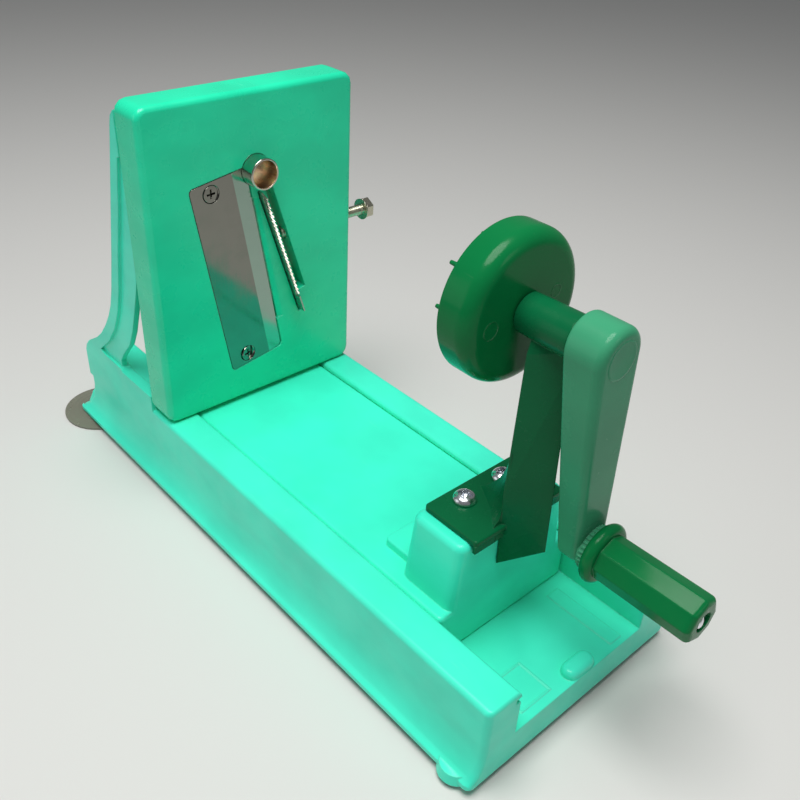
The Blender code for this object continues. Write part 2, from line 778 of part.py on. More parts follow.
def make_blade():
    half = blade_width / 2
    plate = outline("blade_plate", corners(-half, half, -blade_length / 2, blade_length / 2, blade_corner),
                    -blade_thickness, 0, blade_seat, upright, tool=False)
    run = blade_bevel + overrun
    slope = (blade_thickness - blade_edge) / blade_bevel
    wedge = [(0, half - blade_bevel), (-slope * run, half + overrun), (overrun, half + overrun),
             (overrun, half - blade_bevel)]
    cut(plate, loft("grind", [(-blade_length, wedge), (blade_length, wedge)], blade_seat, flat, tool=True))
    # the corner by the tube is notched round it
    cut(plate, rod("blade_notch", (-overrun, 0, tube_height), overrun * 2, tube_outer + seat_gap, root,
                   sides=round_steps))
    places = [(-seat_gap / 2, blade_screw_across, number * blade_screw_spread / 2) for number in (-1, 1)]
    for number, place in enumerate(places):
        profile = [(0, overrun), (blade_screw_head / 2 + seat_gap, overrun),
                   (blade_screw_head / 2 + seat_gap, -blade_screw_head_depth / 4),
                   (blade_hole / 2, -blade_screw_head_depth), (blade_hole / 2, -blade_thickness * 2),
                   (0, -blade_thickness * 2)]
        cut(plate, turned(f"sink_{number}", profile, (0, place[1], place[2]), blade_seat, tool=True))
    settle(plate)
    dress(plate, "blade_plate", steel, 0.08, 1.0)
    screws(("blade_screw_lower", "blade_screw_upper"), places, blade_screw_head, blade_screw_head_depth,
           blade_screw_shank, blade_screw_length, blade_seat, along_x, countersunk=True)
    inner = tube_outer - tube_wall
    end = panel_depth + tube_behind
    tube = turned("centre_tube", [(tube_outer - tube_wall / 3, tube_proud), (tube_outer, tube_proud - tube_wall),
                                  (tube_outer, -end), (inner, -end), (inner, tube_proud)],
                  (0, 0, tube_height), root, closed=True)
    settle(tube)
    dress(tube, "centre_tube", steel, 0.15, 1.0)


def make_comb():
    half = comb_thickness / 2
    low = -comb_toothed_length / 2 - comb_tab_length
    top = comb_toothed_length / 2
    pitch = comb_toothed_length / comb_teeth
    points = [(-comb_depth, low), (comb_proud, low), (comb_proud, -top + pitch / 4)]
    for number in range(comb_teeth):
        foot = -top + number * pitch
        points += [(comb_proud - tooth_depth, foot + pitch * 0.35), (comb_proud, foot + pitch * 0.75)]
    points += [(comb_proud - tooth_depth, top), (-comb_depth, top)]
    comb = outline("comb_blade", points, -half, half, comb_seat, sideways, tool=False)
    dress(comb, "comb_blade", steel, 0.3, 1.0)
    backing = box("comb_holder", (-comb_depth, half + seat_gap, boss_wall - top),
                  (-holder_setback, half + seat_gap + holder_thickness, top - boss_wall),
                  comb_seat, tool=False)
    edge = backing.modifiers.new("soft_edges", "BEVEL")
    edge.width = seat_gap * 2
    edge.segments = 2
    settle(backing)
    dress(backing, "comb_holder", mint, 0.4)
    # the tip meets the tilted holder at the bolt's height
    along = (bolt_rise - comb_rise) / math.cos(comb_tilt)
    face = comb_across + (half + seat_gap + holder_thickness) / math.cos(comb_tilt)
    tip = face - along * math.sin(comb_tilt) + bolt_radius * math.tan(comb_tilt) + bolt_tip_gap
    shank_end = panel_width / 2 + bolt_reach
    bolt = rod("clamp_bolt", (0, tip, 0), shank_end - tip + bolt_head_height / 2, bolt_radius, clamp_axis,
               along_y,
               tool=False)
    join(bolt, hexagon("clamp_head", (0, shank_end, 0), bolt_head_height, bolt_head, clamp_axis, along_y, tool=True))
    settle(bolt)
    dress(bolt, "clamp_bolt", steel, 0.3, 1.0)
    start = panel_width / 2 - panel_wall - nut_height - seat_gap / 2
    nut = hexagon("clamp_nut", (0, start, 0), nut_height, nut_width, clamp_axis, along_y_flat)
    cut(nut, rod("nut_thread", (0, start - overrun, 0), nut_height + overrun * 2, bolt_radius + seat_gap, clamp_axis,
                 along_y))
    settle(nut)
    dress(nut, "clamp_nut", steel, 0.3, 1.0)


def make_feet():
    for side, name in ((-1, "left"), (1, "right")):
        dome = [(cup_neck + (cup_radius - cup_neck) * share,
                 cup_height - (cup_height - cup_lip) * share ** cup_fall)
                for share in (0, 0.15, 0.35, 0.6, 0.85, 1)]
        under = [(cup_radius * share, cup_lip * 0.4 + (cup_height - cup_lip * 4) * (1 - share) ** cup_hollow)
                 for share in (0.94, 0.75, 0.5, 0.25, 0)]
        stud = [(0, cup_height + cup_stud_length), (cup_stud, cup_height + cup_stud_length),
                (cup_stud, cup_height)]
        cup = turned(f"rear_cup_{name}", stud + dome + [(cup_radius, 0), (cup_radius - cup_lip, 0)] + under,
                     (cup_x, side * cup_spread, 0), root, flat)
        settle(cup)
        dress(cup, f"rear_cup_{name}", rubber, 0.3)
        pad = turned(f"front_pad_{name}",
                     [(0, pad_top + pad_stud_length), (pad_stud, pad_top + pad_stud_length),
                      (pad_stud, pad_top),
                      (pad_radius, pad_top), (pad_radius, pad_top / 4), (pad_radius - pad_top / 4, 0),
                      (0, 0)],
                     (base_front - foot_setback, side * foot_spread, 0), root, flat)
        settle(pad)
        dress(pad, f"front_pad_{name}", rubber, 0.5)


def make_carriage():
    slide = pillow("carriage", (-carriage_length, -carriage_half, carriage_foot),
                   (0, carriage_half, carriage_top),
                   carriage_round * 1.2, carriage_round, carriage_round / 2, carriage_origin)
    rings = []
    for share in (0, 1):
        long = pedestal_length_foot + (pedestal_length_top - pedestal_length_foot) * share
        half = pedestal_half_foot + (pedestal_half_top - pedestal_half_foot) * share
        height = carriage_top - carriage_round + (pedestal_top - pedestal_round - carriage_top + carriage_round) * share
        rings.append((height, corners(-long, -seat_gap / 10, -half, half, pedestal_corner)))
    for inset, rise in round_over(pedestal_round)[1:]:
        rings.append((pedestal_top - pedestal_round + rise,
                      corners(-pedestal_length_top + inset, -seat_gap / 10 - inset,
                              -pedestal_half_top + inset,
                              pedestal_half_top - inset, pedestal_corner - inset)))
    join(slide, loft("pedestal", rings, carriage_origin, tool=True))
    join(slide, pillow("plinth", (-plinth_reach, -plinth_half, carriage_top - carriage_round),
                       (-pedestal_length_top + pedestal_corner, plinth_half, carriage_top + plinth_height),
                       carriage_round * 1.2, carriage_round / 2, carriage_round / 2, carriage_origin,
                       tool=True))
    for side in (-1, 1):
        low, high = sorted((side * (carriage_half - carriage_wall / 2), side * (carriage_half + tongue_grip)))
        join(slide, box(f"runner_{side}", (-carriage_length + runner_setback, low, groove_foot + slide_gap),
                        (-runner_setback, high, groove_foot + groove_height - slide_gap), carriage_origin))
    settle(slide)
    bay = (carriage_length - carriage_wall * 2 + rib_width) / carriage_rib_count
    for number in range(carriage_rib_count):
        start = -carriage_length + carriage_wall + number * bay
        cut(slide, box(f"carriage_bay_{number}", (start, -carriage_half + carriage_wall, carriage_foot - overrun),
                       (start + bay - rib_width, carriage_half - carriage_wall,
                        carriage_top - carriage_wall),
                       carriage_origin))
    cut(slide, box("pedestal_hollow", (-pedestal_length_top + pedestal_wall, -pedestal_half_top + pedestal_wall,
                                       carriage_foot - overrun),
                   (-pedestal_wall, pedestal_half_top - pedestal_wall, pedestal_top - pedestal_wall),
                   carriage_origin))
    settle(slide)
    for side in (-1, 1):
        across = side * bracket_screw_spread / 2
        join(slide, rod(f"pedestal_boss_{side}", (-bracket_screw_setback, across, pedestal_top - bracket_screw_length * 1.3),
                        bracket_screw_length * 1.3 - pedestal_wall / 2, boss_radius, carriage_origin, flat))
        cut(slide, rod(f"pedestal_pilot_{side}", (-bracket_screw_setback, across, pedestal_top - bracket_screw_length),
                       bracket_screw_length + overrun, bracket_screw_radius + seat_gap, carriage_origin,
                       flat))
    settle(slide)
    dress(slide, "carriage", mint, 0.35)


def column_ring(share, half):
    # Section of the column: a hollow post with a V nose, open at the rear
    side = column_side_foot + (column_side_top - column_side_foot) * share
    ridge = column_ridge_foot + (column_ridge_top - column_ridge_foot) * share
    nose = math.atan2(half, ridge - side)
    inner_half = half - column_wall / math.cos(nose)
    inner_ridge = ridge - column_wall / math.sin(nose)
    return [(side, -half), (ridge, 0), (side, half), (side, inner_half), (inner_ridge, 0), (side, -inner_half)]


def make_bracket():
    foot = pedestal_top + seat_gap
    top = foot + plate_thickness
    front = lip_overhang
    bracket = pillow("crank_bracket", (-plate_length + lip_overhang, -plate_half, foot),
                     (front, plate_half, top),
                     plate_thickness * 0.6, plate_thickness * 0.3, plate_thickness * 0.1, carriage_origin)
    for side in (-1, 1):
        low, high = sorted((side * lip_gap_half, side * plate_half))
        join(bracket, box(f"lip_{side}", (seat_gap * 2, low, top - lip_drop), (front - seat_gap / 2, high, foot + seat_gap),
                          carriage_origin))
    column_low = foot - column_foot_drop
    rings = []
    for height, half in ((column_low - overrun, column_half_foot), (foot + column_waist_rise, column_half_waist),
                         (axis_height - column_neck_drop, column_half_neck),
                         (axis_height - column_top_drop, column_half_top)):
        share = (height - column_low) / (axis_height - column_top_drop - column_low)
        rings.append((height, column_ring(share, half)))
    column = loft("column", rings, carriage_origin)
    # its foot slopes up from the sides to the nose
    slope = (column_foot_drop - column_ridge_drop) / (column_ridge_foot - column_side_foot)
    wedge = [(column_side_foot - overrun, column_low - overrun * slope),
             (column_ridge_foot + overrun, foot - column_ridge_drop + overrun * slope),
             (column_ridge_foot + overrun, column_low - overrun * 2),
             (column_side_foot - overrun, column_low - overrun * 2)]
    cut(column, outline("column_foot", wedge, -plate_half, plate_half, carriage_origin, sideways))
    settle(column)
    join(bracket, column)
    join(bracket, rod("bearing_tube", (bearing_rear, 0, 0), bearing_front - bearing_rear, bearing_radius_rear,
                      crank_axis, end_radius=bearing_radius_front, sides=round_steps))
    settle(bracket)
    cut(bracket, rod("bearing_bore", (bearing_rear - overrun, 0, 0), bearing_front - bearing_rear + overrun * 2,
                     bush_radius + seat_gap, crank_axis, sides=round_steps))
    for side in (-1, 1):
        cut(bracket, rod(f"bracket_hole_{side}", (-bracket_screw_setback, side * bracket_screw_spread / 2,
                                                  foot - overrun), plate_thickness + overrun * 2,
                         bracket_screw_radius + seat_gap, carriage_origin, flat))
    settle(bracket)
    dress(bracket, "crank_bracket", dark_green, 0.3)
    places = [(-bracket_screw_setback, side * bracket_screw_spread / 2, top + seat_gap) for side in (-1, 1)]
    screws(("bracket_screw_left", "bracket_screw_right"), places, bracket_screw_head,
           bracket_screw_head_height,
           bracket_screw_radius, bracket_screw_length - overrun, carriage_origin, flat)
    inner = shaft_radius + seat_gap
    for name, start, way in (("rear_bush", bearing_rear - seat_gap, 1), ("front_bush", bearing_front + seat_gap, -1)):
        profile = [(bush_flange_radius, -bush_flange), (bush_flange_radius, 0), (bush_radius, 0),
                   (bush_radius, bush_length), (inner, bush_length), (inner, -bush_flange)]
        if way < 0:
            profile = [(radius, -distance) for radius, distance in reversed(profile)]
        bush = turned(name, list(reversed(profile)), (start, 0, 0), crank_axis, closed=True,
                      steps=small_steps)
        settle(bush)
        dress(bush, name, (0.75, 0.72, 0.62), 0.5)


def make_disc():
    back = disc_front + disc_thickness
    rim = [(disc_radius - disc_back_round + disc_back_round * math.sin(math.radians(a)),
            back - disc_back_round + disc_back_round * math.cos(math.radians(a))) for a in (0, 22, 45, 68,
                                                                                            90)]
    bore = shaft_radius + hub_bore_gap
    profile = [(bore, back), *rim, (disc_radius, disc_front + disc_front_round),
               (disc_radius - disc_front_round, disc_front), (bore, disc_front)]
    disc = turned("drive_disc", profile, (0, 0, 0), crank_axis, closed=True)
    settle(disc)
    for number in range(spike_count):
        angle = math.radians(360 * number / spike_count) + spike_turn
        join(disc, rod(f"spike_{number}", (disc_front - spike_length, spike_circle * math.cos(angle),
                                          spike_circle * math.sin(angle)), spike_length + spike_root,
                                          spike_tip,
                       crank_axis, end_radius=spike_radius, sides=10))
    settle(disc)
    dress(disc, "drive_disc", leaf_green, 0.3)


def make_shaft():
    back = disc_front + disc_thickness
    shaft_rear = disc_front + seat_gap
    shaft_front = arm_front - hub_recess_depth + hub_nut_height + seat_gap
    shaft = rod("crank_shaft", (shaft_rear, 0, 0), shaft_front - shaft_rear, shaft_radius, crank_axis,
                sides=round_steps, tool=False)
    cut(shaft, rod("shaft_thread", (shaft_rear - overrun, 0, 0), disc_screw_length + overrun,
                   disc_screw_radius + seat_gap, crank_axis))
    settle(shaft)
    dress(shaft, "crank_shaft", steel, 0.3, 1.0)
    inner = shaft_radius + seat_gap
    for name, start, thickness, outer, bore in (
            ("disc_washer", disc_front - seat_gap - washer_thickness, washer_thickness, washer_radius,
             disc_screw_radius + seat_gap),
            ("thrust_washer", back + seat_gap, thrust_thickness, bush_flange_radius, inner)):
        ring = turned(name, [(outer, thickness), (outer, 0), (bore, 0), (bore, thickness)], (start, 0, 0),
                      crank_axis,
                      closed=True, steps=small_steps)
        settle(ring)
        dress(ring, name, steel, 0.3, 1.0)
    screws(["disc_screw"], [(disc_front - seat_gap * 2 - washer_thickness, 0, 0)], disc_screw_head,
           disc_screw_head_height, disc_screw_radius, disc_screw_length, crank_axis,
           (0, math.radians(-90), 0))


def arm_ring(share):
    # Outline of the arm seen along X: two round ends and straight sides, shrunk by an inset
    points = []
    spread = math.asin((arm_hub_radius - arm_tip_radius) / arm_length)
    for centre, radius, start, stop in ((0, arm_hub_radius, -spread, math.pi + spread),
                                        (-arm_length, arm_tip_radius, math.pi + spread,
                                         2 * math.pi - spread)):
        for step in range(small_steps // 2 + 1):
            angle = start + (stop - start) * step / (small_steps // 2)
            # the tip is flatter than a half circle
            rise = (radius - share) * math.sin(angle) * (arm_tip_flat if centre else 1)
            points.append(((radius - share) * math.cos(angle), centre + rise))
    return points


def make_arm():
    arm_frame = holder("arm_line", (0, 0, 0), crank_axis, arm_swing)
    rings = []
    for inset, rise in reversed(round_over(arm_round)):
        rings.append((arm_rear + arm_round - rise, arm_ring(inset)))
    for inset, rise in round_over(arm_round):
        rings.append((arm_front - arm_round + rise, arm_ring(inset)))
    arm = loft("crank_arm", rings, arm_frame, upright)
    # both faces lean towards each other along the arm
    for vertex in arm.data.vertices:
        along = -vertex.co.y / arm_length
        rear = arm_rear + (arm_tip_rear - arm_rear) * along
        front = arm_front + (arm_tip_front - arm_front) * along
        vertex.co.z = rear + (front - rear) * (vertex.co.z - arm_rear) / (arm_front - arm_rear)
    join(arm, rod("grip_boss", (arm_tip_front - overrun, 0, -arm_length), grip_boss_height + overrun, grip_boss_radius,
                  arm_frame, sides=round_steps))
    cut(arm, rod("arm_bore", (arm_rear - overrun, 0, 0), arm_front - arm_rear + overrun * 2,
                 shaft_radius + seat_gap, arm_frame, sides=round_steps))
    cut(arm, rod("hub_recess", (arm_front - hub_recess_depth, 0, 0), hub_recess_depth + overrun, hub_recess_radius,
                 arm_frame, sides=round_steps))
    cut(arm, rod("pin_bore", (arm_tip_rear - overrun, 0, -arm_length), arm_front - arm_tip_rear + overrun * 3,
                 pin_radius + seat_gap, arm_frame, sides=small_steps))
    cut(arm, rod("pin_sink", (arm_tip_rear - overrun, 0, -arm_length), pin_head_height + overrun + seat_gap * 2,
                 pin_head_radius + seat_gap, arm_frame, sides=small_steps))
    settle(arm)
    dress(arm, "crank_arm", sea_green, 0.25)
    nut_start = arm_front - hub_recess_depth + seat_gap
    nut = hexagon("shaft_nut", (nut_start, 0, 0), hub_nut_height - seat_gap, hub_nut_width * 1.2,
                  crank_axis, along_x)
    cut(nut, rod("shaft_nut_thread", (nut_start - overrun, 0, 0), hub_nut_height + overrun * 2,
                 shaft_radius + seat_gap, crank_axis, sides=small_steps))
    settle(nut)
    dress(nut, "shaft_nut", steel, 0.3, 1.0)
    cap = turned("hub_cap", [(0, 0), (hub_recess_radius - seat_gap, 0), (hub_recess_radius - seat_gap, -hub_cap_thickness),
                             (0, -hub_cap_thickness)], (arm_front, 0, 0), crank_axis)
    settle(cap)
    dress(cap, "hub_cap", sea_green, 0.25)


def make_grip():
    grip = rod("grip", (collar_rear + collar_round, 0, 0), grip_length - collar_round,
               grip_half_root / math.cos(math.pi / 8),
               grip_axis, end_radius=grip_half_end / math.cos(math.pi / 8), sides=8, tool=False)
    edge = grip.modifiers.new("soft_edges", "BEVEL")
    edge.width = grip_end_round
    edge.segments = 2
    settle(grip)
    collar = [(pin_radius + collar_round, collar_round * 2),
              (collar_radius - collar_round, collar_round * 2)]
    for step in range(1, round_steps // 3):
        angle = math.pi * step / (round_steps // 3)
        collar.append((collar_radius - collar_round + collar_round * math.sin(angle),
                       collar_round + collar_round * math.cos(angle)))
    collar += [(collar_radius - collar_round, 0), (pin_radius + collar_round, 0)]
    join(grip, turned("collar", [(0, collar_round * 2), *collar[1:-1], (0, 0)], (collar_rear, 0, 0), grip_axis,
                      tool=True))
    cut(grip, rod("grip_bore", (collar_rear - overrun, 0, 0), grip_length + overrun * 2, pin_radius + seat_gap,
                  grip_axis, sides=small_steps))
    # the end screw and its washer sit in a recess
    cut(grip, rod("grip_recess", (grip_seat, 0, 0), grip_end - grip_seat + overrun,
                  grip_screw_head / 2 + seat_gap * 3, grip_axis, sides=round_steps))
    settle(grip)
    dress(grip, "grip", leaf_green, 0.35)
    pin_start = arm_tip_rear + seat_gap
    pin_end = grip_seat + seat_gap / 2
    pin = turned("grip_pin", [(0, pin_end), (pin_radius, pin_end), (pin_radius, pin_start + pin_head_height),
                              (pin_head_radius, pin_start + pin_head_height), (pin_head_radius, pin_start),
                              (0, pin_start)],
                 (0, 0, 0), grip_axis, steps=small_steps)
    cut(pin, rod("pin_thread", (pin_end - grip_screw_length, 0, 0), grip_screw_length + overrun,
                 grip_screw_radius + seat_gap, grip_axis))
    settle(pin)
    dress(pin, "grip_pin", steel, 0.3, 1.0)
    bore = grip_screw_radius + seat_gap
    outer = grip_screw_head / 2 + seat_gap
    ring = turned("grip_washer", [(outer, washer_thickness), (outer, 0), (bore, 0), (bore, washer_thickness)],
                  (grip_seat + seat_gap, 0, 0), grip_axis, closed=True, steps=small_steps)
    settle(ring)
    dress(ring, "grip_washer", steel, 0.3, 1.0)
    screws(["grip_screw"], [(washer_front + seat_gap, 0, 0)], grip_screw_head, grip_screw_head_height,
           grip_screw_radius, grip_screw_length - overrun, grip_axis, along_x)


make_base()
make_panel()
make_blade()
make_comb()
make_feet()
make_carriage()
make_bracket()
make_disc()
make_shaft()
make_arm()
make_grip()
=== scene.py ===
# Crank-handled vegetable shredder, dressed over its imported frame. Metres, +Z up, +X towards the crank.
import json
import math

import bmesh
import bpy
from mathutils import Matrix, Vector


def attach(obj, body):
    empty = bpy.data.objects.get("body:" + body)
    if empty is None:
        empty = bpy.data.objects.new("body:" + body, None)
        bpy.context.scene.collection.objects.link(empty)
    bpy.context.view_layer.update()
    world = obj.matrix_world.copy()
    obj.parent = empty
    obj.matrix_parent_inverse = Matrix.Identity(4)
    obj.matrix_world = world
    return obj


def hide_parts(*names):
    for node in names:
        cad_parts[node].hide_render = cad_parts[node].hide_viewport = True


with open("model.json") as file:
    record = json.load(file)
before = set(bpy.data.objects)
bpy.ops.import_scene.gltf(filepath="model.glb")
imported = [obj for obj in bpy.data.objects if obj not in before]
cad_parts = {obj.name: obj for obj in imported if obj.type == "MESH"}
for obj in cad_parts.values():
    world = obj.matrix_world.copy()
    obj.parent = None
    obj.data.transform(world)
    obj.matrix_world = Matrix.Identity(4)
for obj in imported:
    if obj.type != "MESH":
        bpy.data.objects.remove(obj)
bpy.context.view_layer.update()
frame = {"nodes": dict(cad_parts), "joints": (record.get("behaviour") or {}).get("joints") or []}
nodes = frame["nodes"]
joints = {joint["name"]: joint for joint in frame["joints"]}
crankAxis = Vector(joints["crank_spin"]["pos_m"])
gripAxis = Vector(joints["grip_spin"]["pos_m"])
gripLine = (crankAxis.x, gripAxis.y, gripAxis.z)
panelToCrank = 0.179
panelX = crankAxis.x - panelToCrank
xWay, yWay, zWay = (1, 0, 0), (0, 1, 0), (0, 0, 1)

scene = bpy.context.scene
scene.view_settings.view_transform = "Standard"

# Camera and room
camera = {"place": (panelX + 0.34105, -0.22395, 0.31689), "look": (-0.5969, 0.5698, -0.5648), "lens": 40.02,
          "sensor": 36, "near": 0.01, "sideRise": 0.048}
room = {"floor": (0.67, 0.67, 0.655), "floorRough": 0.7, "ground": 3.0, "world": (0.86, 0.88, 0.9),
        "worldStrength": 0.18}
lamps = {  # place, aim, size, watts, colour
    "overheadSoftbox": ((0.08, -0.15, 1.05), (0.02, 0.0, 0.05), 0.7, 11.4, (1.0, 0.99, 0.97)),
    "leftFill": ((-0.45, -0.95, 0.40), (0.02, 0.0, 0.08), 0.7, 1.0, (0.97, 0.99, 1.0)),
    "rightStrip": ((1.00, 0.30, 0.55), (0.02, 0.0, 0.08), 0.35, 0.45, (1.0, 0.98, 0.95)),
}


def aimed(place, look, sideRise=0.0):
    # Rotation that looks along a direction, with the picture's side axis rising by sideRise
    back = -Vector(look).normalized()
    level = Vector(zWay).cross(back).normalized()
    over = back.cross(level)
    roll = math.asin(sideRise / over.z) if over.z else 0
    side = level * math.cos(roll) + over * math.sin(roll)
    turn = Matrix((side, back.cross(side), back)).transposed().to_4x4()
    return Matrix.Translation(place) @ turn


def linked(name, data):
    made = bpy.data.objects.new(name, data)
    scene.collection.objects.link(made)
    return made


def makeCamera():
    lens = bpy.data.cameras.new("camera")
    lens.lens = camera["lens"]
    lens.sensor_width = camera["sensor"]
    lens.clip_start = camera["near"]
    scene.camera = linked("camera", lens)
    scene.camera.matrix_world = aimed(camera["place"], camera["look"], camera["sideRise"])


def makeLamps():
    for name, (place, aim, size, watts, colour) in lamps.items():
        light = bpy.data.lights.new(name, "AREA")
        light.shape = "DISK"
        light.size = size
        light.energy = watts
        light.color = colour
        linked(name, light).matrix_world = aimed(place, Vector(aim) - Vector(place))
    world = bpy.data.worlds.new("room")
    scene.world = world
    world.use_nodes = True
    sky = world.node_tree.nodes["Background"]
    sky.inputs["Color"].default_value = (*room["world"], 1)
    sky.inputs["Strength"].default_value = room["worldStrength"]


# Node tree helpers
def newTree(name, kind, inputs, outputs):
    # A node group, the sockets that its inputs give and those that its outputs take
    tree = bpy.data.node_groups.new(name, kind)
    for way, sockets in (("INPUT", inputs), ("OUTPUT", outputs)):
        for label, socketKind in sockets:
            tree.interface.new_socket(label, in_out=way, socket_type="NodeSocket" + socketKind)
    return tree, tree.nodes.new("NodeGroupInput").outputs, tree.nodes.new("NodeGroupOutput").inputs


def feed(tree, socket, value):
    if isinstance(value, bpy.types.NodeSocket):
        tree.links.new(value, socket)
    else:
        socket.default_value = value


def node(tree, kind, settings=None, **values):
    # A node with its settings; i0, i1 and so on feed its sockets by number, other words by name
    made = tree.nodes.new(kind)
    for key, value in (settings or {}).items():
        setattr(made, key, value)
    for key, value in values.items():
        feed(tree, made.inputs[int(key[1:]) if key[1:].isdigit() else key.replace("_", " ")], value)
    return made


def maths(tree, operation, first, second):
    return node(tree, "ShaderNodeMath", {"operation": operation}, i0=first, i1=second).outputs[0]


def vectorMaths(tree, operation, first, second):
    return node(tree, "ShaderNodeVectorMath", {"operation": operation}, i0=first, i1=second).outputs[0]


def rangeMap(tree, value, low, high, outLow=0.0, outHigh=1.0):
    return node(tree, "ShaderNodeMapRange", {"interpolation_type": "SMOOTHSTEP"}, i0=value, i1=low, i2=high,
                i3=outLow, i4=outHigh).outputs[0]


def noise(tree, vector, scale, detail=2.0, rough=0.5):
    return node(tree, "ShaderNodeTexNoise", None, Vector=vector, Scale=scale, Detail=detail,
                Roughness=rough).outputs["Fac"]


def mixColour(tree, blend, factor, first, second):
    return node(tree, "ShaderNodeMix", {"data_type": "RGBA", "blend_type": blend}, i0=factor, i6=first,
                i7=second).outputs[2]


softEdge = {"samples": 6, "cut": (0.97, 0.75)}


def makeEdgeTree():
    # Rounded normal at edges, and a mask of how near an edge the surface is
    tree, given, result = newTree("softEdge", "ShaderNodeTree", [("Radius", "Float")],
                                  [("Normal", "Vector"), ("Edge", "Float")])
    rounded = node(tree, "ShaderNodeBevel", {"samples": softEdge["samples"]}, Radius=given["Radius"])
    surface = node(tree, "ShaderNodeNewGeometry")
    facing = node(tree, "ShaderNodeVectorMath", {"operation": "DOT_PRODUCT"}, i0=rounded.outputs[0],
                  i1=surface.outputs["Normal"])
    tree.links.new(rounded.outputs[0], result["Normal"])
    tree.links.new(rangeMap(tree, facing.outputs["Value"], *softEdge["cut"]), result["Edge"])
    return tree


edgeTree = makeEdgeTree()


def openSkin(name, *inputs):
    # A skin group with the inputs that all skins have, object coordinates and soft edges
    fixed = [("Colour", "Color"), ("Roughness", "Float"), ("Radius", "Float")]
    tree, given, result = newTree(name, "ShaderNodeTree", [*fixed, *inputs],
                                  [("Colour", "Color"), ("Roughness", "Float"), ("Normal", "Vector")])
    soft = node(tree, "ShaderNodeGroup", {"node_tree": edgeTree}, Radius=given["Radius"])
    return tree, given, result, node(tree, "ShaderNodeTexCoord").outputs["Object"], soft.outputs


def closeSkin(tree, result, soft, colour, rough, height):
    bump = node(tree, "ShaderNodeBump", None, Strength=1.0, Distance=1.0, Height=height, Normal=soft["Normal"])
    for label, value in (("Colour", colour), ("Roughness", rough), ("Normal", bump.outputs[0])):
        tree.links.new(value, result[label])
    return tree


moulding = {  # noise scales per metre; a cut is the part of the noise that is used, then what it maps to
    "flow": 26.0, "flowStretch": (1.0, 1.0, 1.8), "flowCut": (0.3, 0.7, 0.93, 1.05),
    # The pale edge colour is a painted highlight along rounded edges
    "edgeHighlightColour": (0.35, 0.42, 0.4, 1),
    "wear": (((60.0, 900.0, 900.0), 2.0, (0.66, 0.74), 60.0, (0.5, 0.65)),
             ((700.0, 90.0, 500.0), 3.0, (0.7, 0.78), 45.0, (0.52, 0.68))),
    "wearColour": (0.5, 0.55, 0.55, 1), "wearMix": 0.3, "wearRough": 0.25, "wearDepth": -0.00002,
    "clouds": 90.0, "cloudCut": (0.35, 0.7, -0.04, 0.08), "sinks": 55.0, "sinkDepth": 0.00006, "grain": 1900.0,
}


def makeMouldedTree():
    # Moulded plastic: faint flow shades, fine grain, shallow sinks, scuffs and a painted highlight along its edges
    tree, given, result, place, soft = openSkin("mouldedSkin", ("Grain", "Float"), ("Scuffs", "Float"),
                                                ("Edge Highlight", "Float"))
    flow = noise(tree, vectorMaths(tree, "MULTIPLY", place, moulding["flowStretch"]), moulding["flow"], 3.0)
    shaded = node(tree, "ShaderNodeVectorMath", {"operation": "SCALE"}, i0=given["Colour"],
                  Scale=rangeMap(tree, flow, *moulding["flowCut"])).outputs[0]
    # Near edges the colour is screened paler: a painted highlight, not a tone of the plastic
    edgeHighlightShare = maths(tree, "MULTIPLY", soft["Edge"], given["Edge Highlight"])
    edgeHighlighted = mixColour(tree, "SCREEN", edgeHighlightShare, shaded, moulding["edgeHighlightColour"])
    worn = [maths(tree, "MULTIPLY",
                  rangeMap(tree, noise(tree, vectorMaths(tree, "MULTIPLY", place, stretch), 1.0, detail), *cut),
                  rangeMap(tree, noise(tree, place, patches), *patchCut))
            for stretch, detail, cut, patches, patchCut in moulding["wear"]]
    marks = maths(tree, "MULTIPLY", maths(tree, "ADD", *worn), given["Scuffs"])
    colour = mixColour(tree, "SCREEN", maths(tree, "MULTIPLY", marks, moulding["wearMix"]), edgeHighlighted,
                       moulding["wearColour"])
    cloudy = rangeMap(tree, noise(tree, place, moulding["clouds"], 4.0), *moulding["cloudCut"])
    rough = maths(tree, "ADD", maths(tree, "ADD", given["Roughness"], cloudy),
                  maths(tree, "MULTIPLY", marks, moulding["wearRough"]))
    sinks = maths(tree, "MULTIPLY", noise(tree, place, moulding["sinks"], 1.0), moulding["sinkDepth"])
    grain = maths(tree, "MULTIPLY", noise(tree, place, moulding["grain"]), given["Grain"])
    height = maths(tree, "ADD", maths(tree, "ADD", sinks, grain),
                   maths(tree, "MULTIPLY", marks, moulding["wearDepth"]))
    return closeSkin(tree, result, soft, colour, rough, height)


rolling = {  # noise scales per metre, cuts as above
    "smudges": 120.0, "smudgeCut": (0.42, 0.7), "smudgeMix": 0.6, "smudgeRough": 0.3,
    # The edge colour and its mix paint a highlight along steel edges
    "smudgeColour": (0.72, 0.72, 0.68, 1), "edgeHighlightColour": (0.6, 0.6, 0.6, 1), "edgeHighlightMix": 0.3,
    "pits": 1400.0, "pitCut": (0.74, 0.8), "pitMix": 0.35, "pitColour": (0.5, 0.48, 0.45, 1),
    "lineCut": (0.3, 0.7, -0.03, 0.05),
}


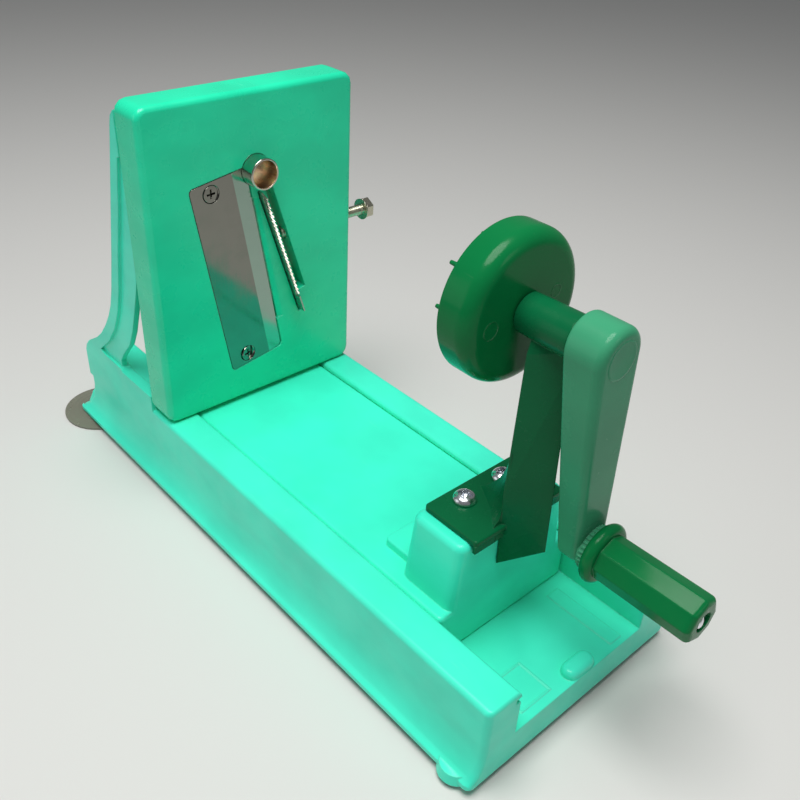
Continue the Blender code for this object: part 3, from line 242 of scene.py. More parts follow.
def makeSteelTree():
    # Rolled steel: fine grind lines along one axis, smudges, small pits and a painted highlight along its edges
    tree, given, result, place, soft = openSkin("steelSkin", ("Grind", "Vector"), ("Line Depth", "Float"),
                                                ("Smudges", "Float"))
    lines = noise(tree, vectorMaths(tree, "MULTIPLY", place, given["Grind"]), 1.0, 3.0, 0.6)
    smudge = rangeMap(tree, noise(tree, place, rolling["smudges"], 4.0, 0.6), *rolling["smudgeCut"])
    smudged = maths(tree, "MULTIPLY", smudge, given["Smudges"])
    pits = rangeMap(tree, noise(tree, place, rolling["pits"], 1.0), *rolling["pitCut"])
    dulled = mixColour(tree, "MULTIPLY", maths(tree, "MULTIPLY", smudged, rolling["smudgeMix"]), given["Colour"],
                       rolling["smudgeColour"])
    # Near edges the colour is screened towards pale grey: a painted highlight
    steelEdgeHighlighted = mixColour(tree, "SCREEN", maths(tree, "MULTIPLY", soft["Edge"], rolling["edgeHighlightMix"]), dulled,
                    rolling["edgeHighlightColour"])
    colour = mixColour(tree, "MULTIPLY", maths(tree, "MULTIPLY", pits, rolling["pitMix"]), steelEdgeHighlighted, rolling["pitColour"])
    rough = maths(tree, "ADD", maths(tree, "ADD", given["Roughness"], rangeMap(tree, lines, *rolling["lineCut"])),
                  maths(tree, "MULTIPLY", smudged, rolling["smudgeRough"]))
    return closeSkin(tree, result, soft, colour, rough, maths(tree, "MULTIPLY", lines, given["Line Depth"]))


def skinned(name, skin, colour, values, fixed):
    # A material whose shader takes colour, roughness and normal from a skin group
    made = bpy.data.materials.new(name)
    made.use_nodes = True
    tree = made.node_tree
    shader = tree.nodes["Principled BSDF"]
    group = node(tree, "ShaderNodeGroup", {"node_tree": skin})
    for key, value in {"Colour": (*colour, 1), **values}.items():
        group.inputs[key].default_value = value
    for output, target in (("Colour", "Base Color"), ("Roughness", "Roughness"), ("Normal", "Normal")):
        tree.links.new(group.outputs[output], shader.inputs[target])
    for key, value in fixed.items():
        shader.inputs[key].default_value = value
    materials[name] = made


mouldedSkin = makeMouldedTree()
steelSkin = makeSteelTree()

plastics = {  # colour, roughness, grain depth, scuffs, painted edge highlight, edge radius, coat, specular level
    "baseMint": ((0.058, 0.884, 0.623), 0.34, 0.000016, 0.22, 0.25, 0.0009, 0.06, 0.36),
    # The panel mint is a darker copy of the base mint: the darkness paints the shade on the panel's front face
    "panelMint": ((0.013, 0.725, 0.406), 0.30, 0.000014, 0.2, 0.30, 0.0008, 0.06, 0.36),
    "carriageMint": ((0.049, 0.899, 0.623), 0.32, 0.000014, 0.22, 0.25, 0.0008, 0.08, 0.36),
    "bracketGreen": ((0.0029, 0.123, 0.043), 0.24, 0.000006, 0.08, 0.05, 0.0005, 0.0, 0.12),
    "leafGreen": ((0.0029, 0.167, 0.046), 0.17, 0.000004, 0.08, 0.06, 0.0005, 0.03, 0.12),
    "seaGreen": ((0.049, 0.312, 0.162), 0.20, 0.000005, 0.1, 0.18, 0.0005, 0.04, 0.12),
    "paleGreen": ((0.232, 0.609, 0.392), 0.4, 0.00001, 0.1, 0.2, 0.0002, 0.0, 0.36),
    "bushPlastic": ((0.93, 0.891, 0.749), 0.45, 0.00001, 0.1, 0.1, 0.0002, 0.0, 0.36),
    "padRubber": ((0.319, 0.522, 0.435), 0.55, 0.00004, 0.3, 0.1, 0.0004, 0.0, 0.36),
}
steels = {  # colour, roughness, grind scale along each axis, line depth, smudges, edge radius
    # The blade steel is painted dark: its colour stands in for the dark surroundings it reflects
    "bladeSteel": ((0.232, 0.232, 0.203), 0.09, (2500.0, 2500.0, 40.0), 0.0000008, 0.25, 0.00015),
    # The ground band is real; its green tint is a painted reflection of the mint around it
    "groundSteel": ((0.304, 0.413, 0.348), 0.13, (2500.0, 60.0, 2500.0), 0.0000002, 0.1, 0.0001),
    "combSteel": ((0.435, 0.406, 0.355), 0.27, (300.0, 2500.0, 2500.0), 0.000001, 0.3, 0.00008),
    "tubeSteel": ((0.551, 0.522, 0.45), 0.14, (60.0, 2500.0, 2500.0), 0.0000015, 0.3, 0.0002),
    # The bright bronze colour inside the tube is a painted reflection
    "tubeInside": ((0.93, 0.758, 0.586), 0.19, (60.0, 2500.0, 2500.0), 0.0000015, 0.2, 0.0002),
    "screwSteel": ((0.855, 0.88, 0.93), 0.17, (900.0, 900.0, 900.0), 0.000001, 0.3, 0.00015),
    "boltSteel": ((0.551, 0.536, 0.42), 0.26, (900.0, 900.0, 900.0), 0.000003, 0.5, 0.0003),
    "shaftSteel": ((0.899, 0.899, 0.87), 0.22, (60.0, 1800.0, 1800.0), 0.000002, 0.3, 0.0002),
}
materials = {}
for name, (colour, *look, coat, specular) in plastics.items():
    skinned(name, mouldedSkin, colour, dict(zip(("Roughness", "Grain", "Scuffs", "Edge Highlight", "Radius"), look)),
            {"Coat Weight": coat, "Coat Roughness": 0.1, "Specular IOR Level": specular})
for name, (colour, *look) in steels.items():
    skinned(name, steelSkin, colour, dict(zip(("Roughness", "Grind", "Line Depth", "Smudges", "Radius"), look)),
            {"Metallic": 1.0})
skinned("cupRubber", mouldedSkin, (0.29, 0.297, 0.232),
        {"Roughness": 0.22, "Grain": 0.000006, "Scuffs": 0.4, "Edge Highlight": 0.2, "Radius": 0.0004},
        {"Transmission Weight": 0.35, "IOR": 1.42})
print("materials made:", len(materials))

# Mesh helpers
weld, flatAngle = 1e-6, math.radians(0.5)  # points and faces nearer than this become one


def smoothUpTo(data, angle):
    data.shade_smooth()
    data.set_sharp_from_angle(angle=math.radians(angle))


def meshed(name, shape, material, sharpest):
    data = bpy.data.meshes.new(name)
    shape.to_mesh(data)
    shape.free()
    data.materials.append(materials[material])
    smoothUpTo(data, sharpest)
    return linked(name, data)


def fromBmesh(name, shape, material, sharpest=35.0):
    bmesh.ops.recalc_face_normals(shape, faces=shape.faces)
    return meshed(name, shape, material, sharpest)


def mergedCopy(nodeName, name, material):
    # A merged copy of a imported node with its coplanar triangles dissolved
    shape = bmesh.new()
    shape.from_mesh(nodes[nodeName].data)
    bmesh.ops.remove_doubles(shape, verts=shape.verts, dist=weld)
    bmesh.ops.dissolve_limit(shape, angle_limit=flatAngle, verts=shape.verts, edges=shape.edges, delimit={"NORMAL"})
    return meshed(name, shape, material, 32.0)


def evaluated(piece):
    # The piece as a plain mesh with its modifiers worked in
    bpy.context.view_layer.update()
    seen = piece.evaluated_get(bpy.context.evaluated_depsgraph_get())
    data = bpy.data.meshes.new_from_object(seen)
    piece.modifiers.clear()
    piece.data = data
    return piece


def placed(piece, body, slotName, *replaced):
    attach(piece, body)
    if replaced:
        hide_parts(*replaced)


def addBox(shape, low, high):
    made = bmesh.ops.create_cube(shape, size=1)["verts"]
    bmesh.ops.scale(shape, vec=[b - a for a, b in zip(low, high)], verts=made)
    bmesh.ops.translate(shape, vec=[(a + b) / 2 for a, b in zip(low, high)], verts=made)


def arc(across, along, radius, start, stop, count=6):
    # Points of an arc in a turned profile, as (radius, distance)
    angles = [math.radians(start + (stop - start) * i / count) for i in range(count + 1)]
    return [(across + radius * math.cos(angle), along + radius * math.sin(angle)) for angle in angles]


def turned(name, profile, origin, axis, material, steps=72, closed=False, sharpest=35.0):
    # A profile of (radius, distance) spun about an axis; points on the axis become poles
    shape = bmesh.new()
    way = Vector(axis)
    side = way.orthogonal().normalized()
    over = way.cross(side)
    spokes = [side * math.cos(math.tau * i / steps) + over * math.sin(math.tau * i / steps) for i in range(steps)]
    rings = []
    for radius, distance in profile:
        centre = Vector(origin) + way * distance
        around = spokes if radius > weld else spokes[:1]
        rings.append([shape.verts.new(centre + spoke * radius) for spoke in around])
    pairs = list(zip(rings, rings[1:]))
    if closed:
        pairs.append((rings[-1], rings[0]))
    for first, second in pairs:
        for i in range(steps):
            j = (i + 1) % steps
            corners = dict.fromkeys((first[i % len(first)], first[j % len(first)], second[j % len(second)],
                                     second[i % len(second)]))
            if len(corners) > 2:
                shape.faces.new(list(corners))
    return fromBmesh(name, shape, material, sharpest)


def lofted(name, rings, material):
    # A skin over rings of points, with a flat face at each end
    shape = bmesh.new()
    loops = [[shape.verts.new(point) for point in ring] for ring in rings]
    for first, second in zip(loops, loops[1:]):
        for i in range(len(first)):
            j = (i + 1) % len(first)
            shape.faces.new((first[i], first[j], second[j], second[i]))
    shape.faces.new(list(reversed(loops[0])))
    shape.faces.new(loops[-1])
    return fromBmesh(name, shape, material, 50.0)


def joined(first, *others):
    # Adds the meshes of other pieces to the first one, with their materials
    shape = bmesh.new()
    finishes = []
    for piece in (first, *others):
        start = len(shape.faces)
        shape.from_mesh(piece.data)
        shape.faces.ensure_lookup_table()
        slots = [finish.name for finish in piece.data.materials]
        for face in shape.faces[start:]:
            wanted = slots[min(face.material_index, len(slots) - 1)]
            if wanted not in finishes:
                finishes.append(wanted)
            face.material_index = finishes.index(wanted)
    shape.to_mesh(first.data)
    shape.free()
    first.data.materials.clear()
    for wanted in finishes:
        first.data.materials.append(materials[wanted])
    for piece in others:
        bpy.data.objects.remove(piece)
    return flatShaded(first)


def flatShaded(piece):
    # Large faces keep a flat shade and their rounded edges carry the turn
    flat = piece.modifiers.new("flatFaces", "WEIGHTED_NORMAL")
    flat.keep_sharp = True
    flat.weight = 80
    return evaluated(piece)


def beveled(piece, width, segments=3, sharpest=30.0):
    edge = piece.modifiers.new("softEdges", "BEVEL")
    edge.width = width
    edge.segments = segments
    edge.limit_method = "ANGLE"
    edge.angle_limit = math.radians(sharpest)
    return flatShaded(piece)


def carved(piece, *tools):
    for tool in tools:
        step = piece.modifiers.new(tool.name, "BOOLEAN")
        step.operation = "DIFFERENCE"
        step.solver = "EXACT"
        step.object = tool
    evaluated(piece)
    for tool in tools:
        bpy.data.objects.remove(tool)
    return piece


def softCopy(nodeName, name, material, width):
    return beveled(mergedCopy(nodeName, name, material), width, 2, 50.0)


def nodeBox(nodeName):
    # Low corner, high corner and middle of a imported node
    points = [vertex.co for vertex in nodes[nodeName].data.vertices]
    low, high = (Vector([pick(point[axis] for point in points) for axis in range(3)]) for pick in (min, max))
    return low, high, (low + high) / 2


# Geometry Nodes trees
def geometryTree(name, *inputs):
    return newTree(name, "GeometryNodeTree", [*inputs, ("Material", "Material")], [("Geometry", "Geometry")])


def closeTree(tree, given, result, geometry):
    real = node(tree, "GeometryNodeRealizeInstances", None, Geometry=geometry)
    dressed = node(tree, "GeometryNodeSetMaterial", None, Geometry=real.outputs[0], Material=given["Material"])
    tree.links.new(dressed.outputs[0], result["Geometry"])
    return tree


def joinXYZ(tree, x, y, z):
    return node(tree, "ShaderNodeCombineXYZ", None, X=x, Y=y, Z=z).outputs[0]


def moved(tree, geometry, **values):
    return node(tree, "GeometryNodeTransform", None, Geometry=geometry, **values).outputs[0]


def copies(tree, points, piece, **values):
    return node(tree, "GeometryNodeInstanceOnPoints", None, Points=points, Instance=piece, **values).outputs[0]


def makePegTree():
    # A ring of round pegs that point along -X and may narrow towards their tips
    tree, given, result = geometryTree(
        "pegRing", ("Count", "Int"), ("Ring Radius", "Float"), ("Sides", "Int"), ("Root", "Float"), ("Tip", "Float"),
        ("Length", "Float"), ("Turn", "Float"), ("Place", "Vector"))
    ring = node(tree, "GeometryNodeMeshCircle", None, Vertices=given["Count"], Radius=given["Ring Radius"])
    spun = moved(tree, ring.outputs[0], Rotation=joinXYZ(tree, 0.0, 0.0, given["Turn"]))
    peg = node(tree, "GeometryNodeMeshCone", {"fill_type": "NGON"}, Vertices=given["Sides"], i3=given["Tip"],
               i4=given["Root"], Depth=given["Length"])
    stood = moved(tree, copies(tree, spun, peg.outputs[0]), Translation=given["Place"],
                  Rotation=(0.0, -math.pi / 2, 0.0))
    return closeTree(tree, given, result, stood)


def makeToothTree():
    # Saw teeth along a line, leaning, and set left and right in turn
    tree, given, result = geometryTree(
        "sawTeeth", ("Count", "Int"), ("Pitch", "Float"), ("Width", "Float"), ("Height", "Float"),
        ("Thickness", "Float"), ("Lean", "Float"), ("Set", "Float"), ("Place", "Vector"))
    line = node(tree, "GeometryNodeMeshLine", {"mode": "OFFSET", "count_mode": "TOTAL"}, Count=given["Count"],
                Offset=joinXYZ(tree, 0.0, 0.0, given["Pitch"]))
    corner = maths(tree, "DIVIDE", given["Width"], math.sqrt(3))
    tooth = node(tree, "GeometryNodeMeshCylinder", {"fill_type": "NGON"}, Vertices=3, Radius=corner,
                 Depth=given["Thickness"])
    onEdge = moved(tree, tooth.outputs[0], Rotation=(math.pi / 2, 0.0, 0.0))
    longer = maths(tree, "DIVIDE", given["Height"], maths(tree, "MULTIPLY", corner, 1.5))
    upright = moved(tree, onEdge, Scale=joinXYZ(tree, longer, 1.0, 1.0))
    parity = maths(tree, "MODULO", node(tree, "GeometryNodeInputIndex").outputs[0], 2.0)
    side = maths(tree, "SUBTRACT", maths(tree, "MULTIPLY", parity, 2.0), 1.0)
    swing = joinXYZ(tree, 0.0, given["Lean"], maths(tree, "MULTIPLY", side, given["Set"]))
    teeth = copies(tree, line.outputs[0], upright, Rotation=swing)
    return closeTree(tree, given, result, moved(tree, teeth, Translation=given["Place"]))


def makeHandleTree():
    # A tapered prism along X, swept from a line with a regular polygon as its section
    tree, given, result = geometryTree(
        "taperedPrism", ("Sides", "Int"), ("Root Radius", "Float"), ("End Radius", "Float"), ("Length", "Float"),
        ("Place", "Vector"))
    end = vectorMaths(tree, "ADD", given["Place"], joinXYZ(tree, given["Length"], 0.0, 0.0))
    line = node(tree, "GeometryNodeCurvePrimitiveLine", None, Start=given["Place"], End=end)
    fine = node(tree, "GeometryNodeResampleCurve", None, Curve=line.outputs[0], Count=9)
    along = node(tree, "GeometryNodeSplineParameter").outputs["Factor"]
    taper = node(tree, "ShaderNodeMapRange", None, i0=along, i1=0.0, i2=1.0, i3=given["Root Radius"],
                 i4=given["End Radius"]).outputs[0]
    section = node(tree, "GeometryNodeCurvePrimitiveCircle", {"mode": "RADIUS"}, Resolution=given["Sides"],
                   Radius=1.0)
    halfSide = maths(tree, "DIVIDE", math.pi, given["Sides"])
    spun = moved(tree, section.outputs[0], Rotation=joinXYZ(tree, 0.0, 0.0, halfSide))
    solid = node(tree, "GeometryNodeCurveToMesh", None, Curve=fine.outputs[0], Profile_Curve=spun, Scale=taper,
                 Fill_Caps=True)
    return closeTree(tree, given, result, solid.outputs[0])


def makeScatterTree():
    # Copies of one piece on the points of a mesh, each turned by the point's own angles
    tree, given, result = geometryTree("piecesOnPoints", ("Geometry", "Geometry"), ("Piece", "Object"))
    piece = node(tree, "GeometryNodeObjectInfo", {"transform_space": "ORIGINAL"}, Object=given["Piece"])
    turn = node(tree, "GeometryNodeInputNamedAttribute", {"data_type": "FLOAT_VECTOR"}, Name="turn")
    return closeTree(tree, given, result, copies(tree, given["Geometry"], piece.outputs["Geometry"],
                                                 Rotation=turn.outputs["Attribute"]))


trees = {"pegs": makePegTree(), "teeth": makeToothTree(), "handle": makeHandleTree(), "scatter": makeScatterTree()}


def grown(name, treeName, material, settings, base=None):
    # A piece made by a Geometry Nodes tree and kept as a plain mesh
    tree = trees[treeName]
    piece = linked(name, base or bpy.data.meshes.new(name))
    rule = piece.modifiers.new("rule", "NODES")
    rule.node_group = tree
    values = {**settings, "Material": materials[material]}
    for item in tree.interface.items_tree:
        if item.item_type == "SOCKET" and item.in_out == "INPUT" and item.name in values:
            rule[item.identifier] = values[item.name]
    evaluated(piece)
    piece.data.materials.clear()
    piece.data.materials.append(materials[material])
    piece.data.polygons.foreach_set("material_index", [0] * len(piece.data.polygons))
    smoothUpTo(piece.data, 32)
    return piece


def onPoints(name, piece, material, places, turns):
    # Copies of a piece at places, each turned by its angles
    points = bpy.data.meshes.new(name)
    points.from_pydata(places, [], [])
    stored = points.attributes.new("turn", "FLOAT_VECTOR", "POINT")
    for item, turn in zip(stored.data, turns):
        item.vector = turn
    made = grown(name, "scatter", material, {"Piece": piece}, points)
    bpy.data.objects.remove(piece)
    return made


makeCamera()
makeLamps()
print("trees made:", len(trees))

innerFinishes = {"rear_bush": "bushPlastic", "front_bush": "bushPlastic", "crank_shaft": "shaftSteel",
                 "thrust_washer": "bracketGreen", "grip_pin": "shaftSteel"}
for nodeName, packed in nodes.items():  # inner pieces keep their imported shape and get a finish
    packed.data.materials.clear()
    packed.data.materials.append(materials[innerFinishes.get(nodeName, "screwSteel")])

plainCopies = {  # name, finish, body and edge width of each softened copy
    # The blade panel and comb holder take the darker mint that paints shade
    "blade_panel": ("bladePanel", "panelMint", "base", 0.0004),
    "comb_holder": ("combHolder", "panelMint", "comb", 0.0003),
    "carriage": ("carriageSlide", "carriageMint", "carriage", 0.0004),
}
for nodeName, (name, material, body, width) in plainCopies.items():
    placed(softCopy(nodeName, name, material, width), body, "mint_plastic", nodeName)

frameLook = {"edge": 0.0004, "floor": 0.0202, "lineWidth": 0.0007, "lineHeight": 0.00035, "lineEdge": 0.7,
             "outline": (0.2019, 0.2194, -0.032, -0.014), "strip": (0.1852, 0.2207, 0.0235, 0.0309)}


def makeBaseFrame():
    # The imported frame, with a faint outline and a strip moulded on its floor
    base = softCopy("base_frame", "baseFrame", "baseMint", frameLook["edge"])
    shape = bmesh.new()
    wide, tall, foot = frameLook["lineWidth"], frameLook["lineHeight"], frameLook["floor"]
    rear, front, right, left = frameLook["outline"]
    for x0, x1, y0, y1 in (frameLook["strip"], (rear, front, right, right + wide), (rear, front, left - wide, left),
                           (rear, rear + wide, right + wide, left - wide),
                           (front - wide, front, right + wide, left - wide)):
        addBox(shape, (panelX + x0, y0, foot - tall), (panelX + x1, y1, foot + tall))
    lines = fromBmesh("floorLines", shape, "baseMint")
    beveled(lines, tall * frameLook["lineEdge"], 3)
    placed(joined(base, lines), "base", "mint_plastic", "base_frame")


makeBaseFrame()

blade = {"seat": (-0.0122, 0.1169), "tilt": math.radians(9.4), "edge": 0.0001, "groundFrom": 0.00735}


def makeBlade():
    # The plate keeps its imported shape and a dark colour that paints the dark surroundings it reflects; its ground
    # band along the edge has a finish of its own, tinted green as a painted reflection of the mint around it
    plate = softCopy("blade_plate", "bladePlate", "bladeSteel", blade["edge"])
    plate.data.materials.append(materials["groundSteel"])
    across, up = math.cos(blade["tilt"]), math.sin(blade["tilt"])
    for face in plate.data.polygons:
        centre = face.center
        edgeward = (centre.y - blade["seat"][0]) * across + (centre.z - blade["seat"][1]) * up
        if edgeward > blade["groundFrom"]:
            face.material_index = 1
    placed(plate, "base", "blade_steel", "blade_plate")


makeBlade()

tube = {"outer": 0.0076, "inner": 0.0066, "chamfer": 0.0005, "rimInset": 0.0001, "rimDepth": 0.0002, "wall": 0.0002,
        "sides": 96}


def makeTube():
    # A turned tube with a rounded rim; inside it a brighter, warmer colour paints the reflections seen in the bore
    low, high, middle = nodeBox("centre_tube")
    front, rear, chamfer = high.x, low.x, tube["chamfer"]
    profile = [(tube["inner"], rear), (tube["outer"], rear), (tube["outer"], front - chamfer * 1.4),
               *arc(tube["outer"] - chamfer, front - chamfer, chamfer, 0, 90, 5),
               (tube["inner"] + tube["rimInset"], front), (tube["inner"], front - tube["rimDepth"])]
    made = turned("centreTube", profile, (0, middle.y, middle.z), xWay, "tubeSteel", tube["sides"], True)
    made.data.materials.append(materials["tubeInside"])
    # Faces of the bore take the painted reflection colour
    for face in made.data.polygons:
        if math.hypot(face.center.y - middle.y, face.center.z - middle.z) < tube["inner"] + tube["wall"]:
            face.material_index = 1
    placed(made, "base", "fastener_steel", "centre_tube")


makeTube()

recess = {  # of a cross: reach and width over the head's radius, depth over its height; how it narrows
    "pan": (1.3, 0.36, 0.85), "flat": (1.15, 0.24, 0.6), "mouth": (1.12, 1.12), "floor": (0.62, 0.8), "above": 0.4}
thread = {"pitch": 0.0009, "core": 0.8}


def crossBars(reach, width, depth, top):
    # Two tapered bars that cut a cross recess; the recess narrows towards its floor
    tools = []
    for number, (across, along) in enumerate(((reach, width), (width, reach))):
        shape = bmesh.new()
        for vertex in bmesh.ops.create_cube(shape, size=1)["verts"]:
            atMouth = vertex.co.z > 0
            shareX, shareY = recess["mouth" if atMouth else "floor"]
            vertex.co = (vertex.co.x * across * shareX, vertex.co.y * along * shareY,
                         top + (recess["above"] * depth if atMouth else -depth))
        tools.append(fromBmesh(f"bar{number}", shape, "screwSteel"))
    return tools


def screwModel(headRadius, headHeight, shank, length, countersunk):
    # One screw, head up along +Z with its seat at 0, a cross recess and a threaded shank
    if countersunk:
        top, shoulder = 0.0, -headHeight
        profile = [(0, 0.00006), (headRadius * 0.8, 0.00004), (headRadius - 0.0001, 0), (headRadius, -0.0002),
                   (headRadius, -headHeight / 4), (shank, -headHeight)]
    else:
        top, shoulder = headHeight, 0.0
        angles = [math.radians(angle) for angle in range(0, 90, 6)]
        profile = [(headRadius * math.sin(angle) ** 0.9, headHeight * math.cos(angle) ** 0.85) for angle in angles]
        profile += [(headRadius, headHeight * 0.06), (headRadius - 0.0002, 0), (shank, 0)]
    pitch = thread["pitch"]
    turns = int((length + shoulder) / pitch)
    for number in range(turns):
        drop = shoulder - number * pitch
        profile += [(shank, drop - pitch * 0.5), (shank * thread["core"], drop - pitch)]
    profile.append((0, shoulder - turns * pitch - shank * 0.5))
    screw = turned("screwModel", profile, (0, 0, 0), zWay, "screwSteel", 48)
    reach, width, depth = recess["flat" if countersunk else "pan"]
    return carved(screw, *crossBars(headRadius * reach, headRadius * width, headHeight * depth, top))


up, forward, backward = 0, math.pi / 2, -math.pi / 2  # ways a head faces, as turns about Y
screwSets = {  # nodes, head radius, head height, shank, length, countersunk, way, spins, body, finish
    "bracketScrews": (("bracket_screw_left", "bracket_screw_right"), 0.0051, 0.0034, 0.0023, 0.011, False,
                      up, (0.5, 1.1), "carriage", "screwSteel"),
    # The blade screws take the blade steel's dark colour, a painted reflection
    "bladeScrews": (("blade_screw_lower", "blade_screw_upper"), 0.00412, 0.0023, 0.0015, 0.0088, True,
                    forward, (0.35, 0.15), "base", "bladeSteel"),
    "panelScrews": (("panel_screw_1", "panel_screw_2", "panel_screw_3", "panel_screw_4"), 0.0033, 0.0021, 0.0014,
                    0.0118, False, backward, (0.2, 0.9, 0.5, 1.3), "base", "screwSteel"),
    "discScrew": (("disc_screw",), 0.00425, 0.0026, 0.0016, 0.0098, False, backward, (0.4,), "crank", "screwSteel"),
    "gripScrew": (("grip_screw",), 0.004, 0.0024, 0.0014, 0.0048, False, forward, (0.7,), "grip", "screwSteel"),
}


def makeScrews():
    for name, (nodeNames, radius, height, shank, length, sunk, way, spins, body, finish) in screwSets.items():
        places = []
        for nodeName in nodeNames:
            low, high, middle = nodeBox(nodeName)
            rise = 0 if sunk else height
            places.append({up: (middle.x, middle.y, high.z - rise), forward: (high.x - rise, middle.y, middle.z),
                           backward: (low.x + rise, middle.y, middle.z)}[way])
        screw = screwModel(radius, height, shank, length, sunk)
        made = onPoints(name, screw, finish, places, [(0, way, spin) for spin in spins])
        placed(made, body, "fastener_steel", *nodeNames)
    print("screws made:", sum(len(row[0]) for row in screwSets.values()))


makeScrews()

comb = {"seat": (0.0106, 0.1269), "tilt": math.radians(17.5), "length": 0.0625, "tab": 0.01, "tabDrop": 0.0004,
        "half": 0.0004, "front": panelX + 0.0060, "rear": panelX - 0.0130, "edge": 0.00012, "teeth": 24,
        "lean": math.radians(24), "set": math.radians(2), "toothHeight": 0.0037, "toothWidth": 0.0016,
        "toothThickness": 0.00076, "backDrop": 0.0032}


def makeComb():
    # A strip on edge with saw teeth along its front and a plain tab below
    seat = Matrix.Translation((0, *comb["seat"])) @ Matrix.Rotation(comb["tilt"], 4, "X")
    shape = bmesh.new()
    bottom, half = -comb["length"] / 2, comb["half"]
    for low, high, drop in ((bottom, -bottom, comb["backDrop"]), (bottom - comb["tab"], bottom, comb["tabDrop"])):
        addBox(shape, (comb["rear"], -half, low), (comb["front"] - drop, half, high))
    strip = fromBmesh("combBlade", shape, "combSteel")
    strip.data.transform(seat)
    beveled(strip, comb["edge"], 2)
    pitch = comb["length"] / (comb["teeth"] + 1)
    start = (comb["front"] - comb["toothHeight"] * math.cos(comb["lean"]) * 0.66, 0, bottom + pitch * 1.3)
    teeth = grown("combTeeth", "teeth", "combSteel", {
        "Count": comb["teeth"], "Pitch": pitch, "Width": comb["toothWidth"], "Height": comb["toothHeight"],
        "Thickness": comb["toothThickness"], "Lean": comb["lean"], "Set": comb["set"], "Place": start})
    teeth.data.transform(seat)
    placed(joined(strip, teeth), "comb", "fastener_steel", "comb_blade")


makeComb()

bolt = {"radius": 0.0028, "tipReach": 0.0012, "pitch": 0.0009, "threadDepth": 0.00028, "headHeight": 0.0046,
        "headFlats": 0.010, "headEdge": 0.0005, "collar": 0.00558, "collarTop": 0.00496, "collarRise": 0.0006,
        "sunk": 0.0004}


def makeBolt():
    # Threaded shank, six-sided head and a thin collar under it
    low, high, middle = nodeBox("clamp_bolt")
    axis = (middle.x, 0, middle.z)
    foot, tip = high.y - bolt["headHeight"], low.y - bolt["tipReach"]
    radius, pitch = bolt["radius"], bolt["pitch"]
    profile = [(0, tip), (radius * 0.8, tip)]
    along = tip + pitch
    while along < foot - pitch * 2:
        profile += [(radius, along), (radius - bolt["threadDepth"], along + pitch / 2)]
        along += pitch
    profile += [(radius, foot - pitch), (radius, foot + 0.001), (0, foot + 0.001)]
    shank = turned("clampBolt", profile, axis, yWay, "boltSteel", 48)
    shape = bmesh.new()
    corner = bolt["headFlats"] / math.sqrt(3)
    bmesh.ops.create_cone(shape, cap_ends=True, segments=6, radius1=corner, radius2=corner, depth=bolt["headHeight"])
    head = fromBmesh("clampHead", shape, "boltSteel")
    head.data.transform(Matrix.Translation((middle.x, high.y - bolt["headHeight"] / 2, middle.z))
                        @ Matrix.Rotation(math.radians(-90), 4, "X"))
    beveled(head, bolt["headEdge"], 3)
    rings = [(0, foot - bolt["sunk"]), (bolt["collar"], foot - bolt["sunk"]), (bolt["collar"], foot),
             (bolt["collarTop"], foot + bolt["collarRise"]), (0, foot + bolt["collarRise"])]
    collar = turned("clampCollar", rings, axis, yWay, "boltSteel", 48)
    placed(joined(shank, head, collar), "clamp", "fastener_steel", "clamp_bolt")


makeBolt()

cup = {"radius": 0.0222, "neck": 0.0055, "height": 0.0065, "lip": 0.0012, "stud": 0.0035, "studTop": 0.0110,
       "studEdge": 0.0004, "rim": 0.0003, "hollowFoot": 0.0004, "hollow": 0.0017, "steps": 30, "rings": 5,
       "ripple": 0.00009}
pad = {"radius": 0.0068, "stud": 0.003, "round": 0.0006, "top": 0.0022, "dimple": 0.0004}


def cupProfile():
    # Stud, rippled dome, rim and shallow hollow below, as (radius, height)
    stud, top, edge = cup["stud"], cup["studTop"], cup["studEdge"]
    profile = [(0, top), (stud - edge, top), (stud, top - edge), (stud, cup["height"])]
    for step in range(cup["steps"] + 1):
        share = step / cup["steps"]
        ripple = cup["ripple"] * math.sin(share * math.tau * cup["rings"])
        profile.append((cup["neck"] + (cup["radius"] - cup["neck"]) * share,
                        cup["height"] - (cup["height"] - cup["lip"]) * share ** 0.5 + ripple))
    profile += [(cup["radius"], cup["rim"]), (cup["radius"] - cup["rim"], 0)]
    return profile + [(cup["radius"] * share, cup["hollowFoot"] + cup["hollow"] * (1 - share) ** 1.1)
                      for share in (0.96, 0.9, 0.8, 0.65, 0.5, 0.3, 0.15, 0)]


def padProfile(top):
    radius, edge = pad["radius"], pad["round"]
    return [(0, top), (pad["stud"], top), (pad["stud"], pad["top"]),
            *arc(radius - edge, pad["top"] - edge, edge, 90, 0, 4), *arc(radius - edge, edge, edge, 0, -90, 4),
            (radius * 0.5, 0), (radius * 0.45, pad["dimple"]), (0, pad["dimple"])]


def makeFeet():
    for side in ("left", "right"):
        low, high, middle = nodeBox(f"rear_cup_{side}")
        made = turned(f"rearCup{side.title()}", cupProfile(), (middle.x, middle.y, 0), zWay, "cupRubber", 96)
        placed(made, "base", "clear_rubber", f"rear_cup_{side}")
        low, high, middle = nodeBox(f"front_pad_{side}")
        made = turned(f"frontPad{side.title()}", padProfile(high.z), (middle.x, middle.y, 0), zWay, "padRubber", 64)
        placed(made, "base", "grey_rubber", f"front_pad_{side}")


makeFeet()
print("base pieces made")

